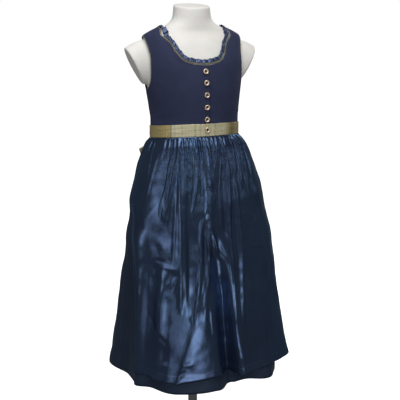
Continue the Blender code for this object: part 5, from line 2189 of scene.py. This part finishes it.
@dataclass
class DressForm:
    """The smooth torso form with its short arms, on the pole, collar and base plate."""

    wardrobe: Wardrobe
    voxel: float = 0.0023
    smoothings: int = 7
    body_cells: tuple[int, int] = (120, 160)
    arm_cells: tuple[int, int] = (64, 40)
    round_steps: int = 128
    neck_tilt: float = 9.0
    tilt_from: float = 1.14
    stub_centre: float = 0.004
    cut_top: tuple[float, float] = (0.169, 1.060)
    cut_bottom: tuple[float, float] = (0.121, 0.963)
    stubs: tuple[Stub, ...] = table(
        Stub,
        (0.085, 1.078, 0.986, 0.026),
        (0.106, 1.080, 0.975, 0.027),
        (0.124, 1.079, 0.973, 0.028),
        (0.145, 1.073, 0.966, 0.031),
        (0.165, 1.063, 0.956, 0.033),
        (0.185, 1.052, 0.950, 0.034),
    )
    pole_radius: float = 0.0125
    collar_radius: float = 0.024
    collar_height: float = 0.035
    base_radius: float = 0.150
    base_thickness: float = 0.008

    def build(self) -> None:
        """Makes the form and its stand."""
        self.torso()
        self.stand()

    def body(self) -> Shape:
        """The torso, closed at the neck and below."""

        def place(around: float, down: float) -> Vector:
            """A point of the torso."""
            height = mix(FORM_ROWS[-1].height, FORM_ROWS[0].height, down)
            point = form_point(360.0 * around, height)
            tilted = smooth((height - self.tilt_from) / (FORM_ROWS[-1].height - self.tilt_from))
            point.z += point.y * math.tan(math.radians(self.neck_tilt)) * tilted
            return point

        shape = bent_grid(*self.body_cells, place, (0.7, 0.5))
        weld(shape, capped=True)
        return shape

    def arm(self, shape: Shape, side: Side) -> None:
        """Adds a short arm, cut off by a plane that slopes in towards the underarm."""
        last = len(self.stubs) - 1

        def place(around: float, along: float) -> Vector:
            """A point of the arm."""
            index = min(int(along * last), last - 1)
            first, second = self.stubs[index], self.stubs[index + 1]
            stub = Stub(*(mix(a, b, along * last - index) for a, b in zip(first, second)))
            turn = around * math.tau
            y = self.stub_centre + stub.half_depth * math.cos(turn)
            z = (stub.top + stub.bottom) / 2.0 + (stub.top - stub.bottom) / 2.0 * math.sin(turn)
            return Vector((side.value * stub.across, y, z))

        part = bent_grid(*self.arm_cells, place, (0.2, 0.1))
        weld(part, capped=True)
        top, bottom = (Vector((side.value * x, 0.0, z)) for x, z in (self.cut_top, self.cut_bottom))
        slope = top - bottom
        outward = Vector((side.value * slope.z, 0.0, -side.value * slope.x)).normalized()
        bmesh.ops.bisect_plane(
            part, geom=part.verts[:] + part.edges[:] + part.faces[:],
            plane_co=top, plane_no=outward, clear_outer=True,
        )
        cap(part)
        face_out(part)
        spare = bpy.data.meshes.new("arm")
        part.to_mesh(spare)
        part.free()
        shape.from_mesh(spare)
        bpy.data.meshes.remove(spare)

    def torso(self) -> None:
        """The torso and arms, melted into one smooth skin."""
        shape = self.body()
        face_out(shape)
        for side in Side:
            self.arm(shape, side)
        rough = add_piece("torso_rough", shape, self.wardrobe.shell, ALL_SMOOTH)
        skin = rough.modifiers.new("skin", "REMESH")
        skin.mode = "VOXEL"
        skin.voxel_size = self.voxel
        graph = bpy.context.evaluated_depsgraph_get()
        melted = bmesh.new()
        melted.from_mesh(rough.evaluated_get(graph).to_mesh())
        bpy.data.objects.remove(rough, do_unlink=True)
        for _ in range(self.smoothings):
            bmesh.ops.smooth_vert(
                melted, verts=melted.verts, factor=0.5,
                use_axis_x=True, use_axis_y=True, use_axis_z=True,
            )
        piece = add_piece("form_torso_shell", melted, self.wardrobe.shell, ALL_SMOOTH)
        settle(piece, "form_shell", "form_torso")

    def stand(self) -> None:
        """The polished pole, its collar and the base plate, turned on a lathe."""
        low, top = self.base_thickness + SEAM_GAP, FORM_ROWS[0].height - SEAM_GAP
        r, b, t = self.pole_radius, self.base_radius, self.base_thickness
        bore, c, h = r + SEAM_GAP, self.collar_radius, self.collar_height
        pole = table(
            Turning,
            (0.0, low), (r - 0.001, low), (r, low + 0.001), (r, top - 0.001), (r - 0.001, top), (0.0, top),
        )
        collar = table(
            Turning,
            (bore, low), (c - 0.001, low), (c, low + 0.001), (c, low + h * 0.66),
            (c - 0.0012, low + h * 0.70), (bore + 0.0052, low + h * 0.97),
            (bore + 0.0035, low + h), (bore, low + h),
        )
        base = table(
            Turning,
            (0.0, 0.0), (b - 0.001, 0.0), (b, 0.001), (b, t - 0.003), (b - 0.0009, t - 0.0009),
            (b - 0.003, t), (0.0, t),
        )
        for name, profile in (("stand_pole", pole), ("stand_collar", collar), ("stand_base", base)):
            shape = lathe(profile, self.round_steps, closed=profile is collar)
            settle(add_piece(f"{name}_metal", shape, self.wardrobe.chrome, 30.0), "stand_chrome", name)


class Softbox(NamedTuple):
    """A soft light: where it stands round the object, how far off and how high, and its power."""

    name: str
    angle: float
    away: float
    height: float
    size: tuple[float, float]
    watts: float


@dataclass
class Studio:
    """The pale floor, the soft lights and the camera at the photograph's view."""

    turn: float = -20.0
    pitch: float = 14.0
    sensor: float = 36.0
    focal_pixels: float = 725.0
    pixels: float = 400.0
    beside: float = 0.0204
    distance: float = 1.82
    eye: float = 1.127
    aim: float = 0.9
    ambient: float = 0.12
    boxes: tuple[Softbox, ...] = table(
        Softbox,
        ("key_left", -66.0, 2.4, 0.90, (0.45, 0.96), 5.8),
        ("key_low", -30.0, 1.2, 0.20, (0.16, 0.22), 0.34),
        ("near_left", -40.0, 2.4, 1.45, (0.28, 0.9), 2.7),
        ("near_right", 4.0, 2.4, 1.45, (0.26, 0.9), 2.5),
        ("high_right", 58.0, 2.4, 1.28, (0.22, 0.6), 1.5),
        ("low_front", -3.0, 1.2, 0.12, (0.48, 0.26), 2.1),
        ("side_right", 118.0, 2.4, 1.90, (0.70, 0.9), 9.0),
        ("overhead", -14.0, 1.2, 2.90, (2.2, 1.6), 52.0),
    )

    def build(self) -> None:
        """Sets up everything that isn't the object."""
        self.camera()
        self.floor()
        self.surround()
        for box in self.boxes:
            self.softbox(box)

    def camera(self) -> None:
        """The camera."""
        turn, pitch = math.radians(self.turn), math.radians(self.pitch)
        right = Vector((math.cos(turn), math.sin(turn), 0.0))
        ahead = Vector((-math.sin(turn), math.cos(turn), 0.0))
        look = ahead * math.cos(pitch) - Vector((0.0, 0.0, 1.0)) * math.sin(pitch)
        lens = bpy.data.cameras.new("photo_view")
        lens.sensor_width = self.sensor
        lens.lens = self.focal_pixels / self.pixels * self.sensor
        seen = bpy.data.objects.new("photo_view", lens)
        seen.location = right * self.beside - ahead * self.distance + Vector((0.0, 0.0, self.eye))
        seen.rotation_euler = look.to_track_quat("-Z", "Y").to_euler()
        bpy.context.scene.collection.objects.link(seen)
        bpy.context.scene.camera = seen

    def floor(self) -> None:
        """A wide pale floor."""
        nodes = Nodes("pale_floor")
        tone = nodes.noise(nodes.place("Object"), 3.0)
        nodes.colour(tone, (0.0, (0.90, 0.90, 0.90)), (1.0, (0.93, 0.93, 0.93)))
        nodes.set(Roughness=0.9, Emission_Strength=1.0, Emission_Color=(1.0, 1.0, 1.0, 1.0))
        shape = bmesh.new()
        bmesh.ops.create_circle(shape, cap_ends=True, segments=96, radius=30.0)
        piece = add_piece("studio_floor", shape, nodes.material)
        piece.visible_diffuse = False
        piece.visible_glossy = False

    def surround(self) -> None:
        """White all round for the camera, and a dimmer soft light for the object."""
        world = bpy.data.worlds.new("studio")
        world.use_nodes = True
        bpy.context.scene.world = world
        tree = world.node_tree
        light = tree.nodes["Background"]
        light.inputs["Color"].default_value = (1.0, 1.0, 1.0, 1.0)
        light.inputs["Strength"].default_value = self.ambient
        white = tree.nodes.new("ShaderNodeBackground")
        white.inputs["Color"].default_value = (1.0, 1.0, 1.0, 1.0)
        path = tree.nodes.new("ShaderNodeLightPath")
        blend = tree.nodes.new("ShaderNodeMixShader")
        tree.links.new(path.outputs["Is Camera Ray"], blend.inputs["Fac"])
        tree.links.new(light.outputs["Background"], blend.inputs[1])
        tree.links.new(white.outputs["Background"], blend.inputs[2])
        tree.links.new(blend.outputs["Shader"], tree.nodes["World Output"].inputs["Surface"])
        bpy.context.scene.view_settings.view_transform = "Standard"

    def softbox(self, box: Softbox) -> None:
        """Sets up one soft area light that looks at the dress."""
        lamp = bpy.data.lights.new(box.name, "AREA")
        lamp.shape = "RECTANGLE"
        lamp.size, lamp.size_y = box.size
        lamp.energy = box.watts
        stand = bpy.data.objects.new(box.name, lamp)
        turn = math.radians(box.angle)
        spot = Vector((math.sin(turn) * box.away, -math.cos(turn) * box.away, box.height))
        stand.location = spot
        level = self.aim if box.height > 2.0 * self.aim else box.height
        stand.rotation_euler = (Vector((0.0, 0.0, level)) - spot).to_track_quat("-Z", "Y").to_euler()
        bpy.context.scene.collection.objects.link(stand)


def main() -> None:
    """Builds the object's looks and the studio."""
    logging.basicConfig(level=logging.INFO, format="%(name)s %(message)s")
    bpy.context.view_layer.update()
    Studio().build()
    wardrobe = Wardrobe()
    skirt = Skirt(wardrobe)
    parts = (
        DressForm(wardrobe),
        Bodice(wardrobe),
        Buttons(wardrobe),
        skirt,
        Apron(wardrobe, skirt),
        Ribbon(wardrobe),
    )
    for part in parts:
        part.build()
        LOG.info("%s is done", type(part).__name__)


if __name__ == "__main__":
    main()
